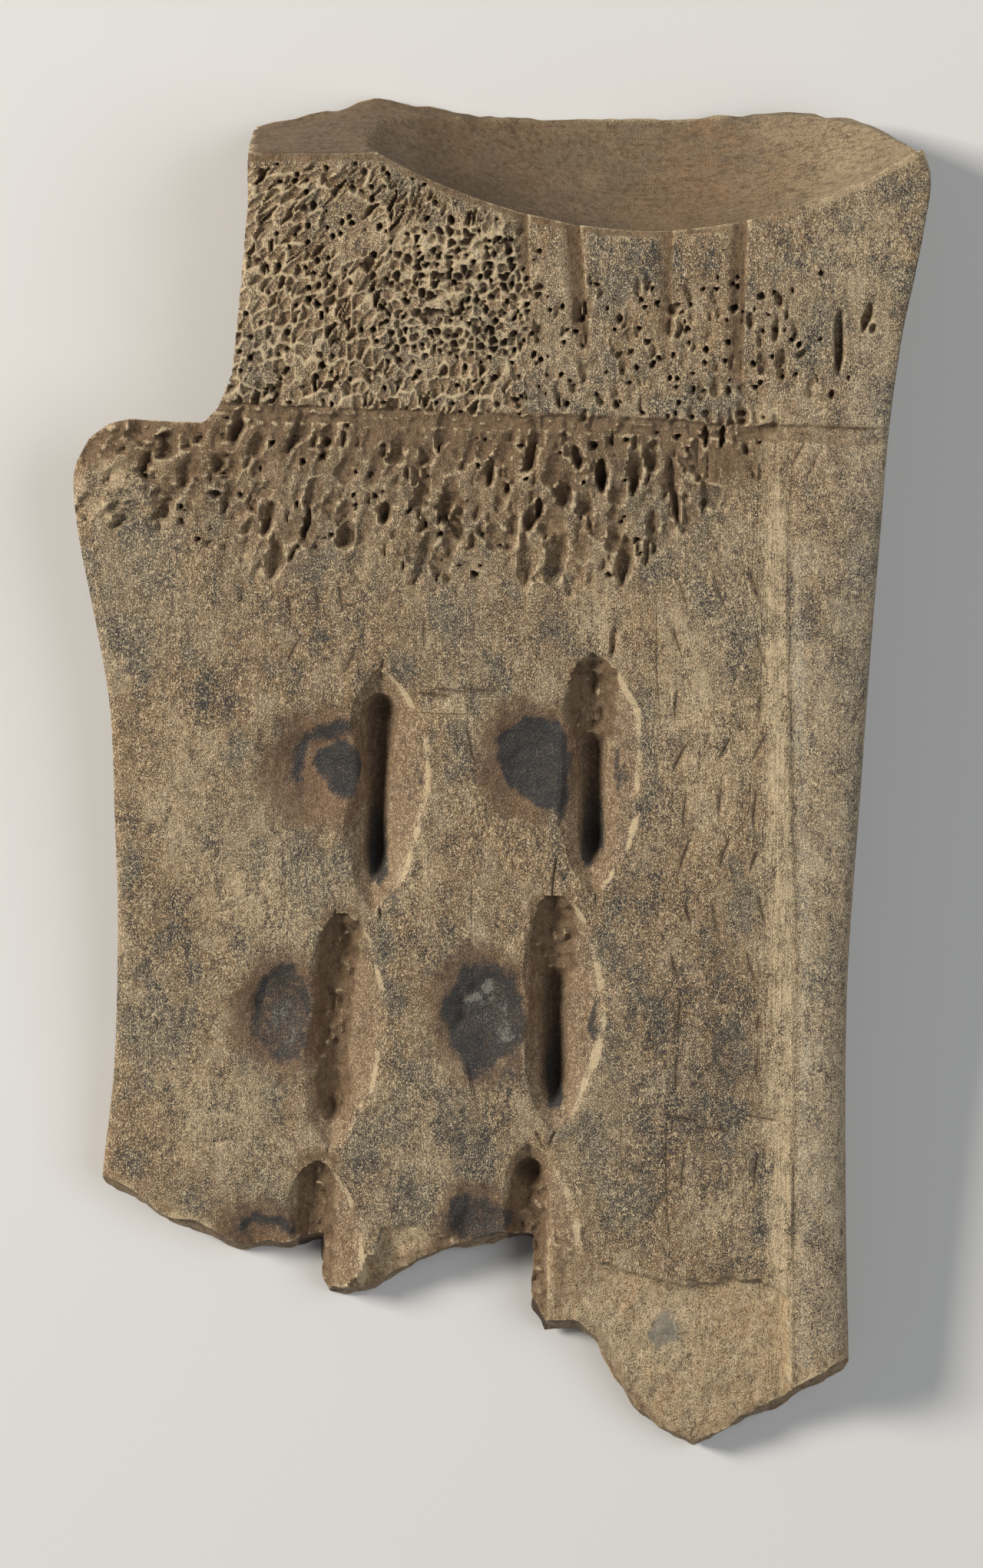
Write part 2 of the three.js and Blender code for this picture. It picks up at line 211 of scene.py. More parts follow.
LONG_SCRAPES, SCRAPE_LEAN = [(0.03, 0.9, 14, 13)], 0.05
SHORT_SCRAPES = [(0.015, 0.8, 3, 14)]
FACET_SCRAPES = [(0.16, 0.85, 11, 15)]


def distance_to(outline, u, v):
    """Distance from each point to a closed outline, negative inside it: the least distance to any of its
    straight runs, with the side told by how many runs lie to the point's right."""
    outline = np.array(outline, float)
    least = np.full(np.shape(u), np.inf)
    inside = np.zeros(np.shape(u), bool)
    for (u0, v0), (u1, v1) in zip(outline, np.roll(outline, -1, axis=0)):
        du, dv = u1 - u0, v1 - v0
        t = np.clip(((u - u0) * du + (v - v0) * dv) / (du * du + dv * dv), 0, 1)
        least = np.minimum(least, np.hypot(u - u0 - t * du, v - v0 - t * dv))
        crosses = (v0 > v) != (v1 > v)
        inside ^= crosses & (u < u0 + (v - v0) * du / (dv if dv else 1))
    return np.where(inside, -least, least)


def kerf_line(u):
    """The v of the saw kerf's middle at u."""
    (u0, v0), (u1, v1) = KERF_ENDS
    return v0 + (u - u0) * (v1 - v0) / (u1 - u0)


def socket_end(u, d):
    """Level of the socket end at u, at depth d behind the face: a shallow elliptical dish sunk into a flat,
    with swells on its far rim."""
    x = (u - SOCKET["middle"]) / SOCKET["half_width"]
    y = (d - SOCKET["behind"]) / SOCKET["half_breadth"]
    dish = SOCKET["depth"] * np.maximum(1 - x * x - y * y, 0)
    flat = TOP_FACET["level"] + TOP_FACET["rise"] * np.clip(d, 0, TOP_FACET["to"])
    swell = sum(height * hump(u - at, width) for at, width, height in RIM_SWELLS)
    beside = smoothstep(u, *TOP_FACET["blend"])
    return flat + (SOCKET["level"] - flat) * beside + smoothstep(d, 0, RIM_BACK) * swell - dish


def edge_wear(u, v):
    """How far the face's edges are worn down: a parabola within a millimetre or so of each edge."""
    inward = {"border": np.minimum(u - along(LEFT_BORDER, v), along(RIGHT_BORDER, v) - u),
              "corner": distance_to(CORNER_CUT, u, v),
              "rim": socket_end(u, 0) - v}
    return sum(depth * np.clip(1 - inward[edge] / width, 0, 1) ** 2
               for edge, (depth, width) in EDGE_WEAR.items())


def flutes(u, v):
    """Depth of the gouge flutes: each deepens slowly from its left and ends in a sharp wall on its right."""
    depth = np.zeros(np.shape(u))
    for (u0, v0), (u1, v1), half, deep in FLUTES:
        t = (v - v0) / (v1 - v0)
        x = (u - u0 - t * (u1 - u0)) / half
        profile = smoothstep(x, *FLUTE["floor"]) * smoothstep(x, *FLUTE["wall"])
        ends = smoothstep(t, *FLUTE["foot"]), smoothstep(t, *FLUTE["rim"])
        depth = np.maximum(depth, deep * profile * ends[0] * ends[1])
    return depth


def face_form(u, v):
    """The worked face before it is pierced: flat with long soft waves and scraping streaks; a facet that
    rises to the crease, drops there, and the ridge beyond as a sine arch; kerf, flutes and worn edges. Earth
    makes the kerf shallower and more ragged on the left."""
    crease, right = along(CREASE, v), along(RIGHT_BORDER, v)
    across = np.clip((u - crease) / (right - crease), 0, 1)
    ridge = smoothstep(v, *RIDGE["span"]) * RIDGE["height"] * np.sin(math.pi * RIDGE["arch"] * across)
    on_facet = smoothstep(u, crease - FACET["width"], crease - FACET["top"])
    on_facet = on_facet * smoothstep(u, crease + FACET["drop"][0], crease + FACET["drop"][1])
    on_facet = on_facet * smoothstep(v, *FACET["span"])
    scraped = on_facet * layered(u + FACET["lean"] * v, v, FACET_SCRAPES, FACET["rise"])
    streaks = layered(u + SCRAPE_LEAN * v, v, LONG_SCRAPES) + layered(u, v, SHORT_SCRAPES)
    earthy = smoothstep(u, *KERF["earthy"])
    ragged = (0.12 + 0.2 * earthy) * unevenness(u, v, 1.5, 1.1, 17)
    to_kerf = np.abs(v - kerf_line(u)) / KERF["half"] + ragged
    kerf = KERF["depth"] * smoothstep(to_kerf, *KERF["sides"]) * smoothstep(u, *KERF["left"])
    crumbs = 0.3 * unevenness(u, v, 2.1, 0.7, 16) + 0.3 * earthy * unevenness(u, v, 0.65, 0.6, 18)
    kerf = kerf * (0.8 - 0.25 * earthy + crumbs)
    return ridge + layered(u, v, WAVES) + streaks + scraped - kerf - flutes(u, v) - edge_wear(u, v)


# ---------- Spongy bone ----------
# Sawing off the crown opened the honeycomb of the bone under the head. Most of its cells are choked with
# earth and show as shallow cups between thin pale walls; some are still open and deep.

BIG_PORES = [  # (u, v), half width, half length, lean to the right at the top, depth
    ((11.9, 36.6), 0.85, 2.3, 0.0, 3.2), ((8.9, 38.8), 0.7, 1.7, -0.2, 2.4),
    ((10.9, 40.1), 0.7, 0.6, 0.0, 2.4), ((13.0, 40.7), 0.4, 0.9, 0.0, 1.8),
    ((23.9, 41.2), 0.4, 1.4, 0.0, 2.2), ((25.8, 41.2), 0.4, 1.5, 0.15, 2.2),
    ((20.2, 35.0), 0.6, 4.8, -0.12, 1.9), ((23.8, 34.6), 0.5, 2.7, 0.05, 1.2),
    ((4.6, 32.6), 0.6, 1.6, 0.1, 2.8), ((0.9, 35.1), 0.4, 0.8, 0.0, 2.0),
    ((6.5, 27.0), 1.4, 3.6, 0.1, 1.9), ((6.7, 31.4), 1.2, 2.6, 0.0, 1.0),
    ((3.2, 26.2), 1.2, 3.0, 0.1, 1.6), ((14.5, 26.6), 0.9, 3.4, 0.1, 1.9),
    ((17.1, 27.6), 0.5, 1.9, 0.1, 1.2), ((13.3, 17.1), 0.5, 2.0, 0.12, 1.1),
    ((17.8, 31.0), 0.7, 1.9, 0.1, 1.3), ((-1.1, 37.1), 0.6, 2.0, 0.1, 2.0),
    ((-26.0, 26.8), 1.1, 2.7, 0.2, 1.9), ((-22.4, 30.9), 0.5, 2.4, 0.2, 2.4),
    ((-13.4, 32.2), 0.8, 1.5, 0.1, 2.4), ((-20.0, 40.5), 0.5, 0.7, 0.1, 2.4),
    ((-22.8, 38.2), 0.5, 0.5, 0.0, 2.0), ((-26.8, 31.6), 0.7, 2.4, 0.2, 1.8),
    ((-9.0, 27.0), 0.7, 3.2, 0.2, 1.2), ((-5.5, 29.5), 1.0, 3.6, 0.2, 1.1),
    ((-6.8, 32.3), 0.5, 1.6, 0.15, 2.0), ((39.2, 52.4), 0.7, 4.2, 0.03, 2.0),
    ((42.4, 55.2), 0.6, 1.9, 0.3, 1.9), ((43.1, 53.9), 0.5, 0.6, 0.2, 1.5),
    ((32.6, 50.3), 0.8, 1.4, 0.1, 1.3), ((34.9, 50.9), 0.6, 0.6, 0.5, 1.3),
    ((38.4, 46.2), 0.35, 0.6, 0.1, 1.6), ((28.9, 54.8), 0.5, 1.1, 0.0, 1.4),
    ((20.0, 56.0), 0.6, 0.8, 0.0, 1.6), ((13.9, 55.0), 0.5, 0.6, 0.0, 1.8),
]
JITTER = 0.46  # how far a cell's centre may stray from the middle of its square
CELL_LATTICE = 64
HONEYCOMB_AT = ((-5, 58.5), (9, 8.5))  # middle and half sizes
CUPS = {"size": (1.1, 2.0), "seed": 41, "open": 0.16, "open_floor": 1.3, "there": 0.93}
HONEYCOMB = {"size": (1.02, 1.08), "seed": 42, "open": 0.3, "open_floor": 1.1, "there": 0.88}
HOLES = {"size": 1.35, "seed": 44, "most": 0.62}  # most: the largest share of its squares that hold one
DROPS = [  # sparse ones above the kerf, then two sizes below it
    {"size": (1.4, 3.2), "half": (0.5, 1.5), "seed": 43, "depth": 0.6},
    {"size": (1.95, 5.2), "half": (0.92, 2.9), "seed": 45, "depth": 0.95},
    {"size": (1.1, 3.0), "half": (0.42, 1.5), "seed": 46, "depth": 0.55},
]
CELL_WARP_U = [(0.3, 1.3, 1.5, 32), (0.12, 0.5, 0.5, 36)]
CELL_WARP_V = [(0.3, 1.2, 1.4, 33), (0.12, 0.5, 0.5, 37)]
CELL_CRUMBS = [(0.07, 0.55, 0.6, 34), (0.13, 1.7, 2.1, 35)]
LONG_CRUMBS = (0.8, 6, 39)  # a single wave: size across and along, seed


def cells(x, y, seed):
    """A random honeycomb on a unit lattice with one centre in each square. For each point: the offset to its
    own cell's centre, the distance to the wall shared with the next cell, and three random numbers that are
    the same all over the cell. The wall is the line midway between two centres."""
    draw = np.random.default_rng(seed).random((5, CELL_LATTICE, CELL_LATTICE))
    i, j = np.floor(x).astype(int), np.floor(y).astype(int)
    around = [(a, b) for a in (-1, 0, 1) for b in (-1, 0, 1)]

    def centre(a, b):
        """Offset to the centre in the square a across and b along: its middle, moved by up to JITTER."""
        scatter = draw[:2, (i + a) % CELL_LATTICE, (j + b) % CELL_LATTICE]
        return np.stack([i + a + 0.5 - x, j + b + 0.5 - y]) + JITTER * (2 * scatter - 1)

    centres = np.stack([centre(a, b) for a, b in around])
    own = np.hypot(centres[:, 0], centres[:, 1]).argmin(0)
    home = np.take_along_axis(centres, own[None, None], 0)[0]
    apart = centres - home
    length = np.hypot(apart[:, 0], apart[:, 1])
    reach = ((centres + home) / 2 * apart).sum(1) / np.maximum(length, 1e-9)
    wall = np.where(length < 1e-9, np.inf, reach).min(0)
    step = np.array(around)[own]
    return home, wall, draw[2:, (i + step[..., 0]) % CELL_LATTICE, (j + step[..., 1]) % CELL_LATTICE]


def big_pores(u, v):
    """Depth of the widest open cells, each a leaning ellipse with steep walls, deeper towards its foot."""
    depth = np.zeros(np.shape(u))
    for (u0, v0), half, length, lean, deep in BIG_PORES:
        y = (v - v0) / length
        x = (u - u0 - lean * (v - v0) - 0.25 * half * unevenness(u, v, 1.3, 1.1, 21)) / half
        profile = smoothstep(np.hypot(x, y), 1.05, 0.62) * (0.72 - 0.28 * np.clip(y, -1, 1))
        depth = np.maximum(depth, deep * profile)
    return depth


def sponge_areas(u, v):
    """Where each kind of spongy bone shows, 0 to 1: leaning cups and round honeycomb above the kerf on the
    left, sparse cells to the right of them, and long drop-shaped cells below the kerf."""
    above = smoothstep(v - kerf_line(u), 0.3, 1.3)
    below = smoothstep(kerf_line(u) - v, 0.2, 1.2)
    ragged = 3.0 * unevenness(u, v, 5, 9, 31)
    cups = above * smoothstep(u, 6, 0) * smoothstep(socket_end(u, 0) - v, 0.4, 2.5)
    (u0, v0), (half_u, half_v) = HONEYCOMB_AT
    honey = above * smoothstep(np.hypot((u - u0) / half_u, (v - v0) / half_v) + 0.06 * ragged, 1.1, 0.85)
    sparse = above * smoothstep(u, 0, 4) * smoothstep(v + ragged, 62, 55) * smoothstep(u + ragged, 42, 32)
    foot = 24 + 9 * smoothstep(u, -24, -37) + 8 * smoothstep(u, 18, 30)
    long = below * smoothstep(v + 1.4 * ragged, foot - 1, foot + 7) * smoothstep(u, 33, 27)
    return cups, honey, sparse, long


def drops(u, v, size, half, seed, area):
    """Drop-shaped cells, one to a lattice square of the given size: leaf outlines with steep walls, fading
    out at the top and deepest just above a firm foot; few are deep, as their depths go by the square of a
    random number. A cell is there if area, taken at its middle, is above a random number. Gives the cells'
    depth and how near their rims are."""
    home, wall, own = cells(u / size[0], v / size[1], seed)
    there = own[0] < area(u + home[0] * size[0], v + home[1] * size[1])
    half_u, half_v = half[0] * (0.7 + 0.6 * own[1]), half[1] * (0.65 + 0.7 * own[2])
    y = home[1] * size[1] / half_v
    x = home[0] * size[0] / half_u * (1 + 0.5 * np.clip(-y, -1, 1))
    leaf = np.maximum(np.hypot(x, y), 0.05)
    outside = (leaf - 1) * leaf / np.hypot(x / half_u, y / half_v)
    inside = smoothstep(outside, 0.06, -0.24) * smoothstep(wall * size[0], 0.0, 0.16)
    tilt = 0.12 + 0.88 * smoothstep(y, -0.9, 0.6)
    lot = (own[1] * 7.3 + own[2] * 3.1) % 1
    # A rim counts most at the cell's foot; the cream later laid on rims is partly wear and partly painted
    # highlight.
    rim = hump(outside - 0.03, 0.1) * (0.25 + 0.75 * smoothstep(y, 0.1, 0.8))
    return there * inside * tilt * (0.35 + 1.5 * lot**2), there * rim


def sponge(u, v):
    """The spongy bone's cells: leaning cups and round honeycomb with thin walls above the kerf, narrow drops
    to the right of them and long drops below it, and small round holes, all roughened by earth. Gives their
    depth, how near the thin walls and rims are, and how much of an open hole there is."""
    cups, honey, sparse, long = sponge_areas(u, v)
    warp_u, warp_v = layered(u, v, CELL_WARP_U), layered(u, v, CELL_WARP_V)
    lean = 0.14 * (v - 44) + 0.022 * np.maximum(v - 50, 0) ** 2 * smoothstep(u, 2, -16)
    patchy = smoothstep(unevenness(u, v, 3.5, 4, 38), -0.9, -0.6)

    size = CUPS["size"]
    home, wall, own = cells((u - lean + warp_u) / size[0], (v + warp_v) / size[1], CUPS["seed"])
    floor = np.where(own[0] < CUPS["open"], CUPS["open_floor"], 0.28 + 0.5 * own[1])
    floor = floor * (0.85 + 0.7 * np.clip(home[1], -0.5, 0.5))
    there = own[2] < CUPS["there"]
    depth = cups * (1 - honey) * patchy * there * floor * smoothstep(wall * size[0], 0.02, 0.2)
    walls = cups * (1 - honey) * patchy * smoothstep(wall * size[0], 0.17, 0.05)
    open_cell = cups * (1 - honey) * (own[0] < CUPS["open"]) * smoothstep(wall * size[0], 0.2, 0.38)

    size = HONEYCOMB["size"]
    home, wall, own = cells((u + warp_u) / size[0], (v + warp_v) / size[1], HONEYCOMB["seed"])
    floor = np.where(own[0] < HONEYCOMB["open"], HONEYCOMB["open_floor"], 0.3 + 0.4 * own[1])
    rounded = smoothstep(np.hypot(*home), 0.6, 0.42) * (own[2] < HONEYCOMB["there"])
    depth = np.maximum(depth, honey * floor * rounded * smoothstep(wall * size[0], 0.03, 0.2))
    walls = np.maximum(walls, honey * smoothstep(wall * size[0], 0.2, 0.06))
    open_cell = np.maximum(open_cell, honey * rounded * (own[0] < HONEYCOMB["open"]))

    size = HOLES["size"]
    home, _, own = cells((u + warp_u) / size, (v + warp_v) / size, HOLES["seed"])
    from_middle = np.hypot(*home) * size
    radius = 0.16 + 0.24 * own[1]
    share = np.clip(0.42 * cups + 0.3 * honey + 0.36 * sparse + 0.16 * long, 0, HOLES["most"])
    there = own[0] < share
    hole = there * smoothstep(from_middle, radius + 0.1, radius - 0.12)
    depth = np.maximum(depth, hole * (0.8 + 0.9 * own[2]))
    open_cell = np.maximum(open_cell, hole)
    walls = np.maximum(walls * (1 - hole), there * hump(from_middle - radius - 0.14, 0.09) * 0.7)

    def sparse_at(x, y):
        """Chance of a cell among the sparse ones."""
        return 0.8 * sponge_areas(x, y)[2]

    def long_at(x, y):
        """Chance of a cell among the long ones."""
        return 1.1 * sponge_areas(x, y)[3]

    drift = (v - 44) * (0.14 - 0.006 * u)
    across = (u + warp_u, u - drift + warp_u, u - drift - warp_u)
    for x, area, kind in zip(across, (sparse_at, long_at, long_at), DROPS):
        deep, rim = drops(x, v + warp_v, kind["size"], kind["half"], kind["seed"], area)
        depth = np.maximum(depth, kind["depth"] * deep)
        walls = np.maximum(walls * (1 - smoothstep(deep, 0.1, 0.3)), 0.65 * rim)
    crumbs = layered(u, v, CELL_CRUMBS) + long * 0.24 * unevenness(u - drift, v, *LONG_CRUMBS)
    return depth + np.clip(cups + sparse + long, 0, 1) * crumbs, walls, open_cell


# ---------- Hollows ----------
# Six hollows in two columns, each a narrow chiselled slot inside a bevelled almond, with a round pit beside
# it that was scorched with a glowing stick until the bone charred and cracked. Earth has stayed in some.

HOLLOWS = [  # slot middle and half length, half width at foot and head, lean, pit middle and half sizes, and
    # where packed earth starts and ends along the slot as shares of its half length, and how full it is
    {"slot": (-14.3, -0.5), "half": 11.2, "wide": (1.6, 2.5), "lean": 0.03,
     "pit": (-21.4, 1.6), "size": (6.3, 7.6), "earth": (-1.4, -1.3, 0.0)},
    {"slot": (10.9, 1.5), "half": 11.8, "wide": (1.8, 2.7), "lean": 0.0,
     "pit": (3.4, 2.9), "size": (5.6, 7.8), "earth": (0.3, 1.1, 0.5)},
    {"slot": (-19.4, -29.7), "half": 12.0, "wide": (1.7, 2.2), "lean": 0.05,
     "pit": (-25.8, -28), "size": (5.6, 7.6), "earth": (-0.86, 1.2, 0.45)},
    {"slot": (6.4, -27.6), "half": 11.8, "wide": (1.9, 2.5), "lean": 0.0,
     "pit": (-1.8, -27.8), "size": (6.2, 8.6), "earth": (0.36, 1.2, 0.5)},
    {"slot": (-21.9, -60.1), "half": 11.8, "wide": (1.8, 2.0), "lean": 0.0,
     "pit": (-28.6, -57), "size": (5.4, 6.8), "earth": (-1.3, 1.3, 0.4)},
    {"slot": (3.5, -58), "half": 12.2, "wide": (1.9, 2.2), "lean": 0.0,
     "pit": (-2.6, -55), "size": (4.8, 6.2), "earth": (-1.3, 0.7, 0.45)},
]
BEVEL = {"right": 6.1, "left": 4.2, "depth": 2.2, "most": 2.7, "up": 12.6, "down": 16.3, "middle": 1.5,
         "tips": 0.62}
LIP = {"depth": 0.6, "from": 2.9, "to": 1.5}
PIT_DEPTH = 1.6
SLOT = {"depth": 5.2, "above": 3.0}
EARTH_EDGE = (1.1, 1.4, 63)
ALMOND_EDGE = (2.4, 4.5, 51)
CHISEL_MARKS = (0.7, 5, 64)
EARTH_LUMPS = [(0.45, 1.2, 1.3, 65), (0.35, 0.55, 0.6, 66)]
PIT_EDGE = [(0.13, 3.4, 3.8, 52), (0.05, 1.1, 1.2, 60)]
PIT_FLOOR = [(0.16, 1.4, 1.6, 53), (0.1, 0.6, 0.6, 54)]


def packed_earth(hollow, u, v):
    """Where earth is packed into a slot and round its head, 0 to 1, with a wandering outline."""
    (u0, v0), (start, end, full), (foot, head) = hollow["slot"], hollow["earth"], hollow["wide"]
    s = (v - v0) / hollow["half"]
    half = foot + (head - foot) * smoothstep(s, -0.2, 1)
    across = np.abs(u - u0 - hollow["lean"] * (v - v0)) + 0.4 * unevenness(u, v, *EARTH_EDGE)
    ends = smoothstep(s, start - 0.05, start + 0.03) * smoothstep(s, end + 0.05, end - 0.03)
    return (full > 0) * ends * smoothstep(across, half + 0.5, half)


def almond(hollow, u, v):
    """Depth of the bevelled almond round a slot: straight slopes that fall from the almond's outline to the
    slot, wider on the right, with a lip beside the slot; the outline narrows to both tips by a power of an
    ellipse. Chisel marks and crumbled earth roughen it."""
    (u0, v0), lean = hollow["slot"], hollow["lean"]
    y = v - v0 - BEVEL["middle"]
    s = np.where(y > 0, y / BEVEL["up"], -y / BEVEL["down"])
    narrowing = np.clip(1 - s * s, 0, 1) ** BEVEL["tips"]
    x = u - u0 - lean * (v - v0) + 0.4 * unevenness(u, v, *ALMOND_EDGE)
    reach = np.where(x > 0, BEVEL["right"], BEVEL["left"]) * narrowing
    share = np.clip(1 - np.abs(x) / np.maximum(reach, 1e-3), 0, 1)
    lip = LIP["depth"] * smoothstep(np.abs(x), LIP["from"], LIP["to"])
    lip = lip * smoothstep(np.abs(v - v0), hollow["half"] + 1.5, hollow["half"] - 2)
    slope = BEVEL["depth"] * narrowing**0.5 * share**0.75
    bevel = np.minimum(slope + lip * (share > 0), BEVEL["most"])
    chisel = 0.1 * unevenness(u, v, *CHISEL_MARKS) * smoothstep(share, 0.02, 0.2)
    lumps = np.maximum(layered(u, v, EARTH_LUMPS, 0.45), 0)
    return bevel + chisel + packed_earth(hollow, u, v) * lumps * (bevel > 0)


def pit(hollow, u, v):
    """Depth of a scorched pit: a round dish with a firm edge and a flatter, crumbled floor."""
    (u0, v0), (half_u, half_v) = hollow["pit"], hollow["size"]
    r = np.hypot((u - u0) / half_u, (v - v0) / half_v)
    return PIT_DEPTH * layered(u, v, PIT_FLOOR, 1) * smoothstep(layered(u, v, PIT_EDGE, r), 1.05, 0.2)


def hollows(u, v):
    """Depth of all the almonds and pits: the deeper of the two wherever they meet."""
    depth = np.zeros(np.shape(u))
    for hollow in HOLLOWS:
        depth = np.maximum(depth, np.maximum(almond(hollow, u, v), pit(hollow, u, v)))
    return depth


SPALLS = [  # flakes lost by the break: outline, its top level, depth there, and slope of the floor
    {"outline": [(5.6, -56), (9.4, -57.2), (14, -59.5), (20.3, -61.2), (31, -60.8), (34.4, -63), (34.9, -95),
                 (5.6, -95)],
     "top": -58, "depth": 0.9, "slope": 0.11},
    {"outline": [(-4.6, -56), (-9.6, -54.3), (-13.4, -54.2), (-15.2, -57.6), (-17.4, -62), (-17.6, -95),
                 (-4.6, -95)],
     "top": -54, "depth": 0.5, "slope": 0.3},
]
SPALL_EDGE = [(0.5, 1.4, 1.4, 55), (0.25, 0.6, 0.7, 56)]
SPALL_RIPPLES = [(0.22, 3.6, 3.2, 57), (0.14, 1.1, 1.2, 58), (0.09, 0.62, 0.65, 59)]


def spalls(u, v):
    """Depth of the flake scars: a step at the ragged outline, then a rippled floor that falls away towards
    the break."""
    depth = np.zeros(np.shape(u))
    for spall in SPALLS:
        ragged = layered(u, v, SPALL_EDGE)
        inside = smoothstep(distance_to(spall["outline"], u, v) + ragged, 0.25, -0.25)
        falling = spall["depth"] + spall["slope"] * np.maximum(spall["top"] - v, 0)
        depth = np.maximum(depth, inside * (falling + layered(u, v, SPALL_RIPPLES)))
    return depth


def worked_face(u, v):
    """Level of the finished face: its form less whichever of hollow, spall and spongy cell is deepest."""
    sunk = hollows(u, v)
    porous = np.maximum(sponge(u, v)[0], big_pores(u, v)) * smoothstep(sunk, 0.4, 0.1)
    return face_form(u, v) - np.maximum(np.maximum(sunk, spalls(u, v)), porous)


# ---------- Cutting the face ----------
# Saw, scraper and chisel in turn: everything in front of the worked face goes, then the slots, then the
# signs, which are short strokes cut with a fine point in rows beside the hollows, with slips of the knife
# and splits.

SIGNS = {"seed": 5, "pitch": 6.4, "columns": [((21.5, 30.5), (26, -46)), ((-24, -18), (25, 14)),
                                              ((-8, -2.5), (21, 8))]}  # u from and to, v from and to
SLIPS = [  # single long scratches left by the knife: start, end, half width, depth
    ((-3.8, -30.5), (-2.5, -39.8), 0.16, 0.16), ((-3.2, -12.2), (-3.1, -17.9), 0.13, 0.12),
    ((-37.8, -43.6), (-32.0, -43.5), 0.13, 0.12), ((-9.4, 8.6), (-1.2, 8.4), 0.14, 0.14),
    ((-12.8, -22.0), (-5.6, -23.4), 0.1, 0.1), ((18.4, 22.0), (19.0, 6.0), 0.13, 0.13),
    ((20.0, -39.0), (20.4, -57.0), 0.16, 0.16), ((14.6, -40.0), (14.7, -48.0), 0.12, 0.12),
    ((-30.5, -22.0), (-26.2, -28.0), 0.14, 0.12), ((-22.8, -14.6), (-19.6, -18.8), 0.12, 0.12),
    ((33.6, 37.2), (35.4, 41.0), 0.15, 0.14), ((35.3, 35.9), (37.4, 40.2), 0.13, 0.12),
    ((-4.9, -20.5), (-3.1, -38.5), 0.12, 0.3)]
CRACKS = [  # splits, most of them running on from an end of a slot, given likewise
    ((-13.5, 15.0), (-14.2, 10.2), 0.42, 0.5), ((-14.2, -10.8), (-13.9, -16.6), 0.46, 0.6),
    ((6.9, -8.4), (6.2, -14.2), 0.3, 0.35), ((11.1, -9.4), (11.5, -15.0), 0.38, 0.45),
    ((-19.2, -15.0), (-19.6, -18.4), 0.42, 0.5), ((-3.0, 3.5), (-0.2, 3.2), 0.16, 0.2),
    ((4.3, -42.2), (5.3, -44.4), 0.34, 0.35), ((6.9, -42.0), (5.9, -44.2), 0.34, 0.35),
    ((-19.9, -41.0), (-20.4, -45.0), 0.34, 0.4)]
FACE_TOP = 20
PAST_KERF = 0.1  # how far the two parts of the face overlap there
ABOVE_KERF = {"u": (-34, 52), "top": 77, "length": 34, "step": 0.2}
BELOW_KERF = {"u": (-52, -31, 36, 53), "u_steps": (0.5, 0.3, 0.5),
              "v": (-92, 12, 36), "v_steps": (0.42, 0.25), "rows_to_kerf": 34}
SLOT_STEPS = {"along": 60, "around": 25}
SLOT_LUMPS = [(0.5, 1.1, 1.3, 61), (0.3, 0.5, 0.6, 62)]
STROKE_STEPS = 11
STROKE_CLEAR = 1.6  # how far a stroke's waste stands above the face, in its own depths
STROKE_BEND = 0.018


def block(low, high):
    """A closed solid between two like grids of points: both grids as quads, and a wall round their edges."""
    rows, columns = low.shape[:2]
    index = np.arange(rows * columns).reshape(rows, columns)
    under = np.stack([index[:-1, :-1], index[1:, :-1], index[1:, 1:], index[:-1, 1:]], -1).reshape(-1, 4)
    over = under[:, ::-1] + rows * columns
    ring = np.concatenate([index[0, :-1], index[:-1, -1], index[-1, :0:-1], index[:0:-1, 0]])
    beside = np.roll(ring, -1)
    wall = np.stack([ring, beside, beside + rows * columns, ring + rows * columns], -1)
    points = np.concatenate([low.reshape(-1, 3), high.reshape(-1, 3)])
    return points, np.concatenate([under, over, wall]).tolist()


def cut(waste):
    """Takes a solid away from the bone for good."""
    carving = bone.modifiers.new("cut", "BOOLEAN")
    carving.operation = "DIFFERENCE"
    carving.solver = "MANIFOLD"
    carving.object = waste
    carved = bpy.data.meshes.new_from_object(bone.evaluated_get(bpy.context.evaluated_depsgraph_get()))
    bone.modifiers.remove(carving)
    bone.data = carved
    bpy.data.objects.remove(waste)


def face_waste(columns, rows):
    """What lies in front of the face, over a grid of u columns and the v of each row in each column."""
    u = columns[None, :] + 0 * rows
    low = np.stack([u, rows, worked_face(u, rows)], -1)
    high = np.stack([u, rows, FACE_TOP + 0 * u], -1)
    return block(low, high)


def stretches(ends, steps):
    """Evenly spaced values in stretches that run from one end to the next, each with its own step."""
    return np.concatenate([np.arange(a, b, step) for a, b, step in zip(ends, ends[1:], steps)])


columns = np.arange(*ABOVE_KERF["u"], ABOVE_KERF["step"])
share = np.linspace(0, 1, round(ABOVE_KERF["length"] / ABOVE_KERF["step"]))[:, None]
start = kerf_line(columns) - PAST_KERF
cut(solid("face_above_kerf", *face_waste(columns, start + (ABOVE_KERF["top"] - start) * share)))

